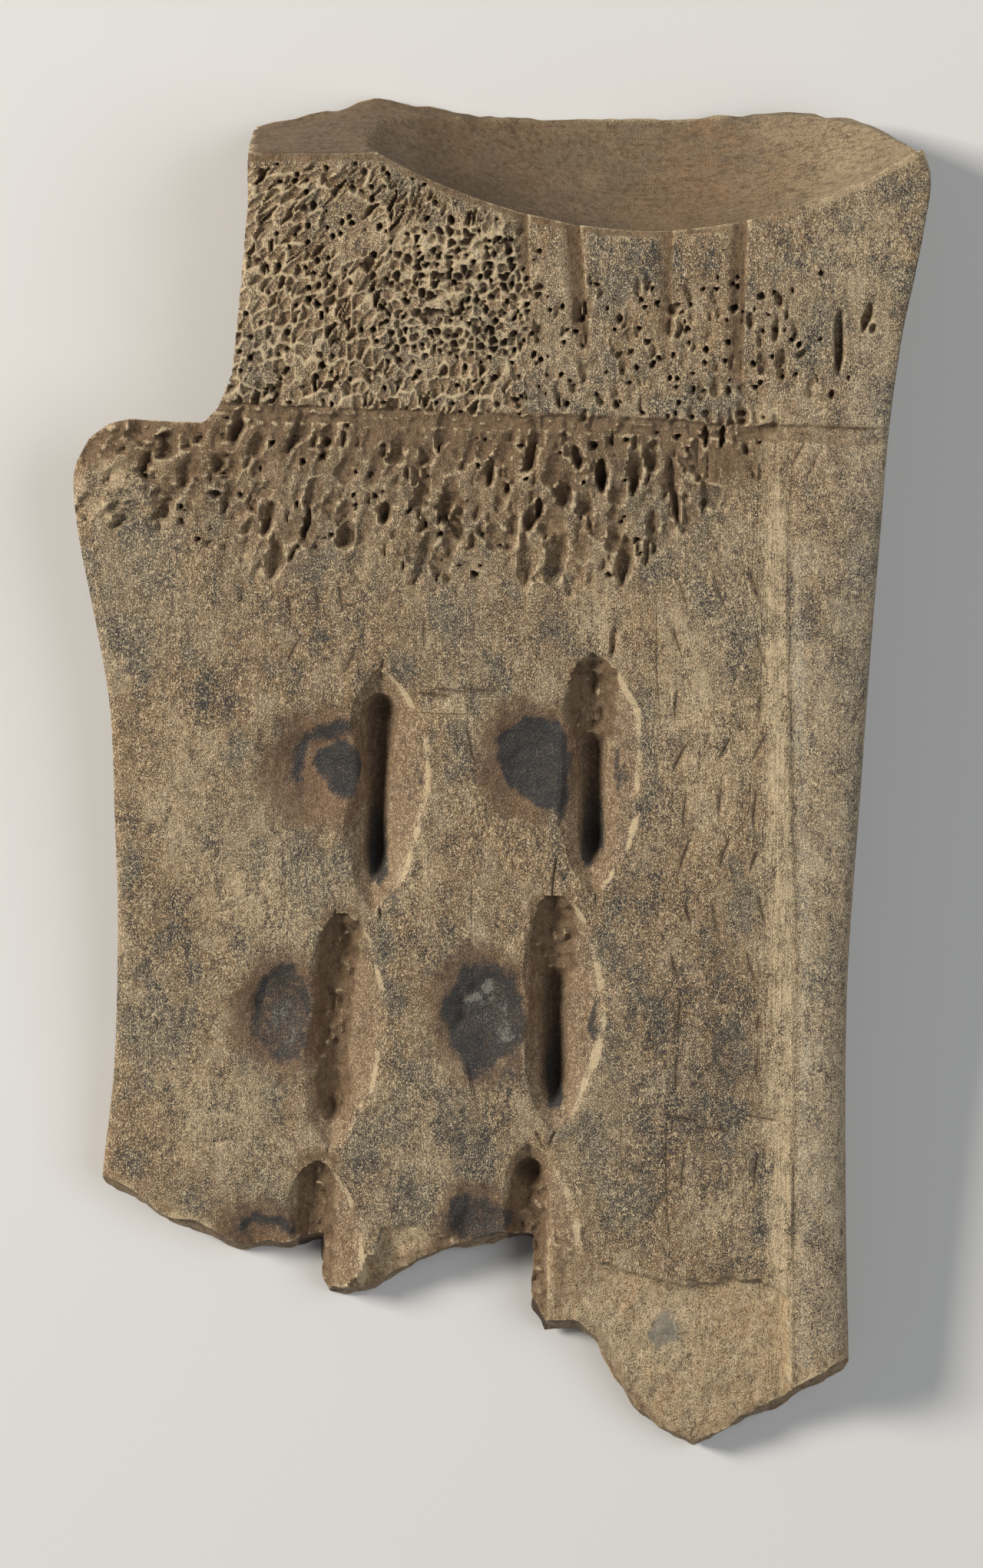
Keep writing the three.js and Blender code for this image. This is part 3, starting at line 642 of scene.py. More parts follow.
columns = stretches(BELOW_KERF["u"], BELOW_KERF["u_steps"])
levels = stretches(BELOW_KERF["v"], BELOW_KERF["v_steps"])[:, None]
share = np.linspace(0, 1, BELOW_KERF["rows_to_kerf"])[1:, None]
rows = np.concatenate([levels + 0 * columns,
                       levels[-1] + (kerf_line(columns) + PAST_KERF - levels[-1]) * share])
cut(solid("face_below_kerf", *face_waste(columns, rows)))
def slot_waste(hollow):
    """What the chisel took out of one slot: a tube along the slot whose ends close in by quarter circles. Its
    section is a U, the lower half of a squared-off ellipse, and packed earth lifts its bottom in lumps."""
    (u0, v0), (foot, head), (start, end, full) = hollow["slot"], hollow["wide"], hollow["earth"]
    s = -np.cos(np.linspace(0.02, math.pi - 0.02, SLOT_STEPS["along"]))[:, None]
    from_end = (1 - np.abs(s)) * hollow["half"]
    half = (foot + (head - foot) * smoothstep(s, -0.2, 1)) * quarter_round(from_end + 0.02, 1.4 * head)
    angle = np.linspace(math.pi / 2, -math.pi / 2, SLOT_STEPS["around"])[None, :]
    across, down = np.sin(angle), np.cos(angle)
    across, down = np.sign(across) * np.abs(across) ** 1.1, np.abs(down) ** 0.85
    filled = full * smoothstep(s, start - 0.12, start + 0.12) * smoothstep(s, end + 0.12, end - 0.12)
    v = v0 + s * hollow["half"]
    deep = SLOT["depth"] * (0.95 - 0.05 * s) * quarter_round(from_end + 0.05, 3.2) * (1 - filled)
    w = -deep * down + filled * layered(half * across, v, SLOT_LUMPS) * down
    middle = u0 + hollow["lean"] * (v - v0)
    above = SLOT["above"] + 0 * s
    top = [np.stack([middle + way * half, v, above], -1) for way in (-1, 1)]
    return np.concatenate([*top, np.stack([middle + half * across, v + 0 * down, w], -1)], axis=1)


def stroke_wastes(strokes):
    """V-shaped strokes: for each (start, end, half width, depth) a tapering tube of triangles, with its point
    below the face and its broad side above it; width and depth swell as the square root of a sine."""
    points, faces = [], []
    t = np.linspace(0.02, 0.98, STROKE_STEPS)
    swell = np.sqrt(np.sin(math.pi * t))
    for (u0, v0), (u1, v1), half, deep in strokes:
        length = math.hypot(u1 - u0, v1 - v0)
        side = np.array([(v1 - v0) / length, -(u1 - u0) / length])
        bend = STROKE_BEND * length * np.sin(math.pi * t)
        u = u0 + (u1 - u0) * t + side[0] * bend
        v = v0 + (v1 - v0) * t + side[1] * bend
        level = face_form(u, v)
        ring = [np.stack([u, v, level - deep * swell], -1)]
        for way in (-1, 1):
            reach = way * half * (1 + STROKE_CLEAR) * swell
            above = level + STROKE_CLEAR * deep * swell
            ring.append(np.stack([u + reach * side[0], v + reach * side[1], above], -1))
        faces += tube_faces(len(t), len(ring), start=sum(len(p) for p in points))
        points.append(np.stack(ring, 1).reshape(-1, 3))
    return np.concatenate(points), faces


for hollow in HOLLOWS:
    waste = slot_waste(hollow)
    cut(solid("slot", waste, tube_faces(*waste.shape[:2])))

draw = np.random.default_rng(SIGNS["seed"])
signs = []
for (left, right), (top, foot) in SIGNS["columns"]:
    for level in np.arange(top, foot, -SIGNS["pitch"]):
        slant = math.radians(draw.choice([-24, -6, 4, 15, 84]) + draw.uniform(-5, 5))
        count = draw.integers(2, 4)
        places = np.linspace(left, right, count) + draw.uniform(-0.8, 0.8, count)
        for place in places:
            reach = SIGNS["pitch"] * draw.uniform(0.22, 0.42)
            down, beside = reach * math.cos(slant), reach * math.sin(slant)
            at = level - SIGNS["pitch"] / 2 + draw.uniform(-0.9, 0.9)
            width, deep = draw.uniform(0.36, 0.46), draw.uniform(0.26, 0.36)
            signs.append(((place - beside, at + down), (place + beside, at - down), width, deep))
for strokes in (signs, SLIPS, CRACKS):
    cut(solid("strokes", *stroke_wastes(strokes)))

# ---------- Socket and sawn head ----------
# The joint's shallow dish faces along the bone and keeps its smooth skin. Beside it the head was sawn off
# flat, and one corner was sawn away, which shows the honeycomb of the head from the side.

SOCKET_GRID = {"u": (-37, 57), "behind": (-8, 32), "step": 0.62, "beyond": 100}
CORNER_LEVELS = (-31, 6, 0.7)  # lowest, highest and step
SAW_LEAN = 0.24
WASTE_STEP = 0.55
FIBRES = [(0.05, 6, 0.8, 71), (0.08, 9, 2.6, 72)]
SAW_SCORES = (15, 0.7, 73)
WORN_PATCH = [(0.3, 1.8, 1.6, 74), (0.16, 0.9, 0.9, 75)]
NIBBLES = [(0.3, 2.6, 3, 76), (0.15, 1.2, 2, 77)]
CORNER_SCORES, CORNER_WAVES = (14, 0.8, 78), (3, 3, 79)
CORNER_CELLS = {"size": (1.7, 1.5), "seed": 81}


def socket_form(u, d):
    """The socket end with its skin: fibres across the dish, saw scores on the flat beside it, a rough worn
    patch at the dish's right, and a nibbled far rim."""
    beside = smoothstep(u, 4, -8)
    fibres = layered(u, d, FIBRES)
    scores = beside * 0.09 * unevenness(u, d + 0.05 * u, *SAW_SCORES)
    rough = smoothstep(np.hypot((u - 38) / 10, (d - 6) / 9), 1.2, 0.5) * layered(u, d, WORN_PATCH)
    nibbled = smoothstep(d, 15, 22) * layered(u, d, NIBBLES)
    return socket_end(u, d) + fibres + scores + rough + nibbled


def leaning_waste(outline, levels, lean, at, roughness):
    """A solid over a closed outline, from the lowest level to the highest, sheared by lean in v for each
    millimetre above the level at. Its side is pushed outwards by roughness(u, v, way round, level)."""
    corners = np.array(outline + outline[:1], float)
    run = np.concatenate([[0], np.cumsum(np.hypot(*np.diff(corners, axis=0).T))])
    way = np.linspace(0, run[-1], round(run[-1] / WASTE_STEP))[:-1]
    u, v = np.interp(way, run, corners[:, 0]), np.interp(way, run, corners[:, 1])
    tangent_u, tangent_v = np.roll(u, -1) - np.roll(u, 1), np.roll(v, -1) - np.roll(v, 1)
    length = np.maximum(np.hypot(tangent_u, tangent_v), 1e-6)
    w = levels[:, None]
    push = roughness(u[None, :] + 0 * w, v[None, :] + 0 * w, way[None, :] + 0 * w, w + 0 * way[None, :])
    leaning_v = v - push * tangent_u / length + lean * (w - at)
    rings = np.stack([u + push * tangent_v / length, leaning_v, w + 0 * push], -1)
    return rings, tube_faces(*rings.shape[:2])


def saw_marks(u, v, way, w):
    """Scores of the saw across the sawn corner, and the opened cells of the head above the notch."""
    scores = 0.06 * unevenness(way, w + 0.1 * way, *CORNER_SCORES) + 0.05 * unevenness(way, w, *CORNER_WAVES)
    spongy = smoothstep(v, 44, 47) * smoothstep(w, -22, -19) * smoothstep(w, -0.5, -2)
    size = CORNER_CELLS["size"]
    _, wall, own = cells(way / size[0], w / size[1], CORNER_CELLS["seed"])
    floor = np.where(own[0] < 0.3, 1.2, 0.3 + 0.4 * own[1])
    cups = floor * (own[2] < 0.75) * smoothstep(wall * size[1], 0.1, 0.4)
    return scores + spongy * cups


columns = np.arange(*SOCKET_GRID["u"], SOCKET_GRID["step"])[None, :]
behind = np.arange(*SOCKET_GRID["behind"], SOCKET_GRID["step"])[:, None]
low = np.stack([columns + 0 * behind, socket_form(columns, behind), -behind + 0 * columns], -1)
high = low * (1, 0, 1) + (0, SOCKET_GRID["beyond"], 0)
cut(solid("socket_waste", *block(low, high)))
cut(solid("sawn_corner", *leaning_waste(CORNER_CUT, np.arange(*CORNER_LEVELS), SAW_LEAN, 0, saw_marks)))

# ---------- The broken end ----------
# The thin end of the plate snapped off through the lowest hollows, in a run of bites and one long splinter.
# Its torn side slopes, so that the back reaches further than the face.

BREAK = [
    (60, -66), (42.2, -73.2), (39.2, -75.4), (36.7, -76.4), (33.9, -78.3), (29.3, -80.6), (26.1, -82.2),
    (23.4, -84.0), (21.4, -82.9), (19.1, -81.8), (16.8, -79.5), (14.1, -75.2), (11.8, -70.6), (9.7, -68.9),
    (5.5, -69.1), (4.1, -66.4), (4.0, -57.8), (-0.3, -58.2), (-6.7, -59.3), (-10.1, -60.9), (-14.7, -64.0),
    (-18.4, -64.7), (-20.3, -64.3), (-21.0, -61.9), (-21.2, -57.7), (-24.8, -59.1), (-30.6, -59.0),
    (-38.9, -55.9), (-46.6, -51.3), (-62, -42),
]
BREAK_LEVELS = (-20, 4, 0.6)  # lowest, highest and step
BREAK_BACK = -7  # the level at which the break follows its outline
BREAK_LEAN = 0.46
TORN = [(0.45, 4.2, 2.4, 82), (0.22, 1.5, 1.1, 83), (0.1, 0.7, 0.6, 84)]


def fracture(u, v, way, w):
    """The torn side of the break: unevenness in layers, from splinters down to a fine grain."""
    return layered(way, w, TORN)


beyond = BREAK + [(-62, -100), (60, -100)]
waste = leaning_waste(beyond, np.arange(*BREAK_LEVELS), BREAK_LEAN, BREAK_BACK, fracture)
cut(solid("broken_off", *waste))

# ---------- At rest ----------
# The bone lies on its back on three spots that have worn flat, so its frame is turned until they are level.
# Its surface is then thinned where it is flattest.

FEET = [(12, 70), (37.5, -69), (-42.5, -50)]
FOOT_FLAT = 0.35
FLOOR_REACH = 150.0
FLOOR_DEEP = 30
MM = 0.001
MOST_TRIANGLES = 194000

feet = [Vector((u, v, -float(thickness(u, v)))) for u, v in FEET]
upright = (feet[1] - feet[0]).cross(feet[2] - feet[0])
upright = upright if upright.z > 0 else -upright
lie = upright.rotation_difference(Vector((0, 0, 1))).to_matrix()
floor_level = (lie @ feet[0]).z + FOOT_FLAT
reach = np.array([-FLOOR_REACH, FLOOR_REACH])
under = np.stack([reach[None, :] + 0 * reach[:, None], reach[:, None] + 0 * reach[None, :],
                  floor_level + np.zeros((2, 2))], -1)
to_bone = np.array(lie)
cut(solid("floor_waste", *block((under - (0, 0, FLOOR_DEEP)) @ to_bone, under @ to_bone)))

bone.data.calc_loop_triangles()
thinning = bone.modifiers.new("thinning", "DECIMATE")
thinning.ratio = min(1, MOST_TRIANGLES / len(bone.data.loop_triangles))
bone.data = bpy.data.meshes.new_from_object(bone.evaluated_get(bpy.context.evaluated_depsgraph_get()))
bone.modifiers.remove(thinning)

# Thinning can leave a sliver hanging by one edge, or an edge with no face. Both go, so the skin is closed.
skin = bmesh.new()
skin.from_mesh(bone.data)
flaps = [face for face in skin.faces if any(edge.is_boundary for edge in face.edges)]
bmesh.ops.delete(skin, geom=flaps, context="FACES_ONLY")
bmesh.ops.delete(skin, geom=[edge for edge in skin.edges if not edge.link_faces], context="EDGES")
skin.to_mesh(bone.data)
skin.free()

# ---------- Earth, scorching, wear and painted light ---
# Three thousand years of handling and burial: earth is packed into kerf, slots and cells, the pits are
# charred with a brown halo, blue-black specks of manganese sit in patches, and proud edges are worn pale.
# Light and shade are painted in as well: painted shade darkens deep holes and the left of the dish, and
# painted highlight lightens cell rims, the bevels' right-hand edges, a stripe beside the crease and the
# right of the dish.

CHARRED = [  # middle (u, v), half sizes, strength
    ((-18.8, 1.4), (3.2, 3.3), 0.95), ((-14.4, -8.6), (1.2, 3.6), 0.8),
    ((-25.4, -28.4), (4.2, 6.0), 0.66), ((10.8, -7.4), (1.1, 3.0), 0.8), ((6.5, -35.8), (1.4, 3.6), 0.9),
    ((0.9, -36.6), (0.7, 2.6), 0.6), ((-2.4, -53.4), (3.9, 3.2), 0.72), ((11.0, -28), (0.6, 3.0), 0.7),
    ((14.4, 1.5), (0.6, 3.2), 0.55), ((-9.8, -0.4), (0.7, 2.2), 0.4), ((-1.6, -27.9), (4.9, 7.2), 0.85),
]
CHARRED_SHAPES = [  # outlines of pits charred right to a firm edge
    [(2.8, 8.0), (5.2, 8.4), (6.9, 7.7), (8.0, 5.3), (8.2, 0.8), (7.4, -3.9), (5.4, -3.2), (2.2, -1.4),
     (0.3, 1.4), (0.1, 4.9)],
]
CHARRED_ARCS = [  # middle, half sizes, heading of the arc's middle and half its spread, strength
    ((-19.9, 1.4), (4.9, 5.8), 128, 88, 0.95), ((-25.4, -27.8), (4.1, 6.0), 130, 80, 1.0),
    ((-1.6, -27.8), (4.9, 7.4), 190, 100, 1.1), ((-28.4, -57.9), (4.6, 5.4), 85, 75, 0.9),
]
CHARRED_ARC = {"at": 0.86, "width": 0.2, "fade": 35}
HALO = {"size": (1.45, 1.35), "strength": 0.9, "firm": 0.45}  # round each pit, as a share of the pit's size
ASHEN = [
    ((-25.0, -29.2), (3.2, 4.6), 0.5), ((-0.6, -27.4), (3.4, 5.8), 0.5), ((-2.0, -54.2), (3.0, 3.0), 0.35),
    ((-1.2, -24.6), (1.0, 1.7), 0.9), ((-3.2, -26.3), (1.1, 1.0), 0.9), ((-0.4, -26.8), (0.9, 0.9), 0.9),
    ((0.6, -30.5), (1.6, 2.4), 0.6), ((19.8, -67.3), (2.0, 3.4), 0.9),
]
SPECKLED = [
    ((22, -35), (11, 25), 0.7), ((16, -12), (7, 20), 0.4), ((27.5, 18), (4, 14), 0.4),
    ((-33.7, 10.6), (5, 4), 0.9), ((-37, -40), (6, 3), 0.5), ((-3, -42), (7, 8), 0.5),
    ((-15, -50), (6, 5), 0.6), ((-3, 14), (8, 6), 0.4), ((-36, 34), (9, 8), 0.45),
    ((-22, 20), (10, 6), 0.5), ((-8, -18), (6, 6), 0.35), ((18, 62), (10, 4), 0.5),
    ((-38, -18), (6, 10), 0.35), ((5, 18), (9, 5), 0.45), ((28, -57), (6, 5), 0.6),
    ((38, 20), (3, 10), 0.3),
]
BLEACHED = [
    ((-34, -40), (9, 9), 0.5), ((-37, 0), (6, 14), 0.4), ((34.3, -60), (2.4, 12), 0.8),
    ((-34, 58), (3, 12), 0.4), ((-10, -10), (5, 5), 0.4), ((12, 20), (6, 6), 0.4),
    ((31, 42), (4, 4), 0.8), ((-8, 63), (9, 3.5), 0.9), ((22, 67), (14, 3), 0.5),
    ((-30, -14), (8, 8), 0.4), ((22, 12), (6, 14), 0.5), ((-24, -50), (8, 5), 0.4),
    ((42, 62), (6, 8), 0.3), ((-44, 36), (4, 5), 0.7), ((25, 6), (7, 20), 0.5), ((26, -54), (5, 5), 0.35),
]
FOOT_FACET = [(6.4, -54.8), (14.4, -59.8), (6.4, -65.4)]  # a smooth splinter face beside the lowest slot
IN_SLOT = {"half": 2.3, "length": 1.02, "floor": -7, "below": 0.2}  # what counts as inside a slot
BEVEL_EDGE, BEVEL_INSIDE = (0.02, 0.1), (0.65, 0.35)  # depths between which a bevel's edge starts and ends
WANDER_U = [(0.7, 2.6, 3.0, 91), (0.35, 1.0, 1.1, 92)]
WANDER_V = [(0.7, 2.6, 3.0, 93), (0.35, 1.0, 1.1, 94)]
RUBBED = 4  # rubbing for each unit of convexity


def read(items, name, width=1, kind=np.float64):
    """One property of all of a mesh's vertices or edges, in rows of the given width."""
    values = np.empty(len(items) * width, kind)
    items.foreach_get(name, values)
    return values.reshape(-1, width)


def spots(places, u, v, firm=0.0):
    """Soft elliptical patches: strength at the middle, none at the edge. The part within firm of the middle
    has all of the strength."""
    found = np.zeros(len(u))
    for (u0, v0), (half_u, half_v), strength in places:
        r = np.hypot((u - u0) / half_u, (v - v0) / half_v)
        found = np.maximum(found, strength * smoothstep(r, 1.15, firm))
    return found


def convexity(mesh, passes=2):
    """How far each vertex stands proud of its neighbours: the mean over its edges of the sine of the fall
    towards the neighbour, smoothed along the edges in each pass."""
    at, normal = read(mesh.vertices, "co", 3), read(mesh.vertices, "normal", 3)
    ends = read(mesh.edges, "vertices", 2, np.int32)
    ends = np.concatenate([ends, ends[:, ::-1]])
    away = at[ends[:, 0]] - at[ends[:, 1]]
    fall = (away * normal[ends[:, 0]]).sum(1) / np.maximum(np.linalg.norm(away, axis=1), 1e-6)
    count = np.bincount(ends[:, 0], minlength=len(at))
    proud = np.bincount(ends[:, 0], fall, len(at)) / count
    for _ in range(passes):
        proud = (proud + np.bincount(ends[:, 0], proud[ends[:, 1]], len(at)) / count) / 2
    return proud


def keep(name, values, kind="FLOAT"):
    """Stores one number, or one vector, for each vertex of the bone."""
    field = "vector" if kind == "FLOAT_VECTOR" else "value"
    attribute = bone.data.attributes.new(name, kind, "POINT")
    attribute.data.foreach_set(field, np.ravel(values).astype(np.float32))


place = read(bone.data.vertices, "co", 3)
u, v, w = place.T
form, level = face_form(u, v), worked_face(u, v)
on_face = smoothstep(np.abs(w - level), 0.9, 0.6)
in_slot, packed, edge = np.zeros((3, len(u)))
for hollow in HOLLOWS:
    (u0, v0), (start, end, full) = hollow["slot"], hollow["earth"]
    s = (v - v0) / hollow["half"]
    beside = u - u0 - hollow["lean"] * (v - v0)
    inside = (np.abs(beside) < IN_SLOT["half"]) & (np.abs(s) < IN_SLOT["length"])
    inside = inside & (w > IN_SLOT["floor"]) & (w < level - IN_SLOT["below"])
    in_slot = np.maximum(in_slot, inside)
    if full:
        filled = inside * smoothstep(s, start - 0.1, start) * smoothstep(s, end + 0.1, end)
        packed = np.maximum.reduce([packed, filled, on_face * packed_earth(hollow, u, v)])
    bevel = almond(hollow, u, v)
    # Painted highlight: a cream line along each bevel's edge on its right-hand side only, which faces the key
    # light.
    edge = np.maximum(edge, (beside > 0) * smoothstep(bevel, *BEVEL_EDGE) * smoothstep(bevel, *BEVEL_INSIDE))
edge = edge * smoothstep(unevenness(u, v, 1.3, 2.6, 96), -0.7, 0.3)
on_face = np.maximum(on_face, in_slot)

# Depths in millimetres, and which part of the bone each vertex is on, 0 to 1.
almonds, pierced, flaked = sum(almond(h, u, v) for h in HOLLOWS), hollows(u, v), spalls(u, v)
sunk = on_face * np.clip(form - np.maximum(pierced, flaked) - w, 0, 6)
in_flake = smoothstep(flaked, 0.2, 0.8)
socket = smoothstep(np.abs(v - socket_end(u, -w)), 1.0, 0.6) * (w < 0.2) * (v > 55)
dish = socket * smoothstep(u, -14, -8)
from_break = np.abs(distance_to(beyond, u, v - BREAK_LEAN * (w - BREAK_BACK)))
torn = smoothstep(from_break, 1.1, 0.8) * (v < -45)
cups, honey, sparse, long = sponge_areas(u, v)
_, walls, open_cell = sponge(u, v)
spongy = on_face * np.clip(cups + honey + 0.7 * sparse + long, 0, 1)
under = kerf_line(u) - v
in_kerf = smoothstep(np.abs(v - kerf_line(u)) / KERF["half"], 1.7, 0.9) * smoothstep(u, 44, 38)
in_kerf = in_kerf * (0.8 + 0.5 * unevenness(u, v, 2.2, 1.4, 97)) * smoothstep(u, 37, 28).clip(0.4)
under_kerf = smoothstep(under, 9, 1) * smoothstep(under, -1.5, 0) * smoothstep(u, 34, 26)
from_crease = u - along(CREASE, v)
on_ridge = on_face * smoothstep(from_crease, 0.6, 2.5)

# Stains wander, so they are laid out on coordinates that stray a little from the true ones.
wander_u, wander_v = layered(u, v, WANDER_U), layered(u, v, WANDER_V)
stray_u, stray_v = u + wander_u, v + wander_v
haloes = [(h["pit"], (h["size"][0] * HALO["size"][0], h["size"][1] * HALO["size"][1]), HALO["strength"])
          for h in HOLLOWS]
arcs = np.zeros(len(u))
for (u0, v0), (half_u, half_v), heading, spread, strength in CHARRED_ARCS:
    x, y = (stray_u - u0) / half_u, (stray_v - v0) / half_v
    turn = np.degrees(np.abs(np.angle(np.exp(1j * (np.arctan2(y, x) - math.radians(heading))))))
    ring = hump(np.hypot(x, y) - CHARRED_ARC["at"], CHARRED_ARC["width"])
    arcs = np.maximum(arcs, strength * ring * smoothstep(turn, spread, spread - CHARRED_ARC["fade"]))
shapes = [smoothstep(distance_to(outline, stray_u, stray_v), 0.5, -0.5) for outline in CHARRED_SHAPES]
char = np.maximum.reduce([spots(CHARRED, stray_u, stray_v, 0.8), arcs, *shapes])

# Earth gathers in kerf, flutes, cells and slots, and gives way on the bevels' right-hand edges to their
# painted highlight.
earth = sum([0.9 * in_kerf, 2.2 * flutes(u, v), 0.75 * under_kerf, 0.55 * np.clip(sunk * 1.6, 0, 1) * spongy,
             0.25 * long, 0.1 * in_flake, 0.3 * smoothstep(almonds, 0.1, 1.2),
             0.3 * smoothstep(distance_to(FOOT_FACET, u, v), 0.3, -0.3)])
earth = on_face * np.clip(earth, 0, 1) * (1 - 0.8 * edge)
# Earth in the dish, heavier towards its left: that extra darkening is painted shade, on the side turned from
# the key light.
dish_earth_and_shade = dish * (0.35 + 0.35 * smoothstep(u, 34, -6))
earth = np.maximum.reduce([earth, packed, 0.55 * torn, dish_earth_and_shade, 0.6 * (socket - dish), 0.5 * in_slot])

# Pale where bleached or scraped, as on the facet, and greyer along the ridge. The pale at the right of the
# dish is painted highlight, on the side that faces the key light.
facet = smoothstep(from_crease + 0.5 * wander_u, -3.4, -1.4) * smoothstep(from_crease, 0.4, 0.0)
pale = on_face * np.maximum(spots(BLEACHED, stray_u, stray_v), 0.85 * facet * smoothstep(v, 46, 24))
pale = np.maximum(pale, dish * smoothstep(u + 2 * wander_u, 28, 42))
# Painted highlight: a pale stripe just right of the crease, where the ridge's flank faces the key light.
crease_highlight = hump(from_crease - 1.5, 0.8) * smoothstep(v, 34, 20)
grey = 0.25 + 0.4 * smoothstep(v, 0, -40) + 0.35 * smoothstep(from_crease, 5, 8)
scored = smoothstep(from_crease, -8, -3) * smoothstep(from_crease, 1.0, 0.2) * smoothstep(v, 50, 40)

# Pale where worn: wherever the surface is proud and on the edges of the flake scars. On thin walls and cell
# rims the cream is partly wear and partly painted highlight; on the bevels' right-hand edges it is painted
# highlight.
chipped = sum(hump(distance_to(spall["outline"], u, v) + 0.25, 0.22) * (v > -63.5) for spall in SPALLS)
chipped = np.maximum(0.8 * chipped, 0.6 * hump(distance_to(FOOT_FACET, u, v), 0.2) * (u < 8))
rims_worn_and_highlit = on_face * np.maximum(walls * spongy, np.maximum(edge, chipped))
rubbed = np.clip(convexity(bone.data) * RUBBED, 0, 1)

keep("place", place, "FLOAT_VECTOR")
keep("sunk", sunk)
keep("earth", earth)
keep("char", on_face * char)
keep("scorch", on_face * spots(haloes, stray_u, stray_v, HALO["firm"]))
keep("ash", on_face * spots(ASHEN, stray_u, stray_v, 0.4))
keep("speck", on_face * spots(SPECKLED, stray_u, stray_v) - 0.6 * dish)
keep("sign", on_face * (1 - in_slot) * smoothstep(level - w, 0.04, 0.2) * (1 - spongy))
# Open cells, where painted shade darkens the colour.
keep("hole", on_face * open_cell * (1 - smoothstep(almonds, 0.1, 0.4)))
keep("pale", np.maximum(pale, 0.4 * on_face * in_flake))
# grey holds the ridge's greyer tone and the painted highlight of the stripe beside the crease.
keep("grey", np.maximum(on_ridge * smoothstep(v, 60, 40) * grey, on_face * crease_highlight))
keep("scored", on_face * scored)
keep("cut", on_face * smoothstep(np.maximum(almonds, pierced), 0.12, 0.7))
keep("raw", on_face * in_flake + torn)
keep("across", socket)
keep("wear_and_highlight", np.maximum(rubbed, rims_worn_and_highlit * (0.75 + 0.45 * unevenness(u, v, 1.3, 1.6, 95))))

# ---------- Old bone ----------
# Buried bone, dry and matt: tan, mottled with brown and grey, with a fine grain along the blade, dense
# blue-black specks, cream where it is rubbed, and slightly glossy where it is not eaten away. Painted
# highlight and painted shade are laid into the colour too, from the masks made above.


def paint(red, green, blue):
    """A colour given as on a paint card, 0 to 255, made linear: the power 2.4 law of the display."""
    linear = [((c / 255 + 0.055) / 1.055) ** 2.4 if c > 10 else c / 255 / 12.92 for c in (red, green, blue)]
    return (*linear, 1.0)


class Tone:
    """A number that varies over the surface: a socket of a finish, and the sums that can be done with it."""

    def __init__(self, finish, socket):
        self.finish, self.socket = finish, socket

    def maths(self, operation, *inputs):
        """The result of a Math node's operation on tones or numbers."""
        return self.finish.add("ShaderNodeMath", {"operation": operation}, dict(enumerate(inputs)))

    def __add__(self, other):
        return self.maths("ADD", self, other)

    def __sub__(self, other):
        return self.maths("SUBTRACT", self, other)

    def __rsub__(self, other):
        return self.maths("SUBTRACT", other, self)

    def __mul__(self, other):
        return self.maths("MULTIPLY", self, other)

    __radd__ = __add__
    __rmul__ = __mul__

    def step(self, low, high):
        """0 below low, 1 above high, smooth between; falling if high is below low."""
        ends = {"From Min": min(low, high), "From Max": max(low, high)}
        settings = {"interpolation_type": "SMOOTHSTEP"}
        risen = self.finish.add("ShaderNodeMapRange", settings, {"Value": self, **ends})
        return risen if low < high else 1 - risen

    def most(self, other):
        """The greater of this and another."""
        return self.maths("MAXIMUM", self, other)

    def cap(self):
        """The lesser of this and 1."""
        return self.maths("MINIMUM", self, 1.0)


class Finish:
    """A material whose nodes are added one at a time."""

    def __init__(self, name):
        self.material = bpy.data.materials.new(name)
        self.material.use_nodes = True
        self.tree = self.material.node_tree
        self.shader = self.tree.nodes["Principled BSDF"]

    def add(self, kind, settings, inputs, output=0):
        """Adds a node: its settings first, then the value or the link of each socket named in inputs."""
        node = self.tree.nodes.new(kind)
        for name, value in settings.items():
            setattr(node, name, value)
        for name, value in inputs.items():
            if isinstance(value, Tone):
                self.tree.links.new(value.socket, node.inputs[name])
            else:
                node.inputs[name].default_value = value
        return Tone(self, node.outputs[output])

    def stored(self, name, output="Fac"):
        """A number kept on the piece's vertices, or with output Vector, a vector."""
        return self.add("ShaderNodeAttribute", {"attribute_name": name}, {}, output)

    def grain(self, place, size, detail=2, rough=0.5, warp=0.0):
        """Noise around 0.5 whose grains measure size = (across, along, deep)."""
        shrink = tuple(1 / s for s in size)
        shrunk = self.add("ShaderNodeVectorMath", {"operation": "MULTIPLY"}, {0: place, 1: shrink})
        inputs = {"Vector": shrunk, "Scale": 1.0, "Detail": detail, "Roughness": rough, "Distortion": warp}
        return self.add("ShaderNodeTexNoise", {}, inputs)

    def coat(self, colour, coats):
        """A colour under coats of (paint, share), each mixed over what is below it by its share."""
        for paint, share in coats:
            inputs = {0: share, 6: colour, 7: paint}
            colour = self.add("ShaderNodeMix", {"data_type": "RGBA"}, inputs, output=2)
        return colour

    def feed(self, socket, value):
        """Links a tone to one of the shader's own sockets, or sets that socket if value is a plain number."""
        if isinstance(value, Tone):
            self.tree.links.new(value.socket, self.shader.inputs[socket])
        else:
            self.shader.inputs[socket].default_value = value


TAN = paint(141, 117, 86)
OCHRE = paint(138, 107, 71)
OLIVE = paint(117, 108, 89)
UMBER = paint(102, 82, 58)
STONE = paint(163, 152, 130)
CREAM = paint(212, 189, 150)
SPECK = paint(38, 40, 41)
ROSE = paint(138, 110, 84)
AMBER = paint(163, 127, 86)
EARTH = paint(106, 82, 57)
DARK_EARTH_AND_SHADE = paint(60, 45, 31)
SCORCHED = paint(98, 68, 44)
CHAR = paint(46, 47, 48)
CRUMBS = paint(96, 88, 76)
ASH = paint(138, 133, 120)
SHARP_FROM = math.radians(62)

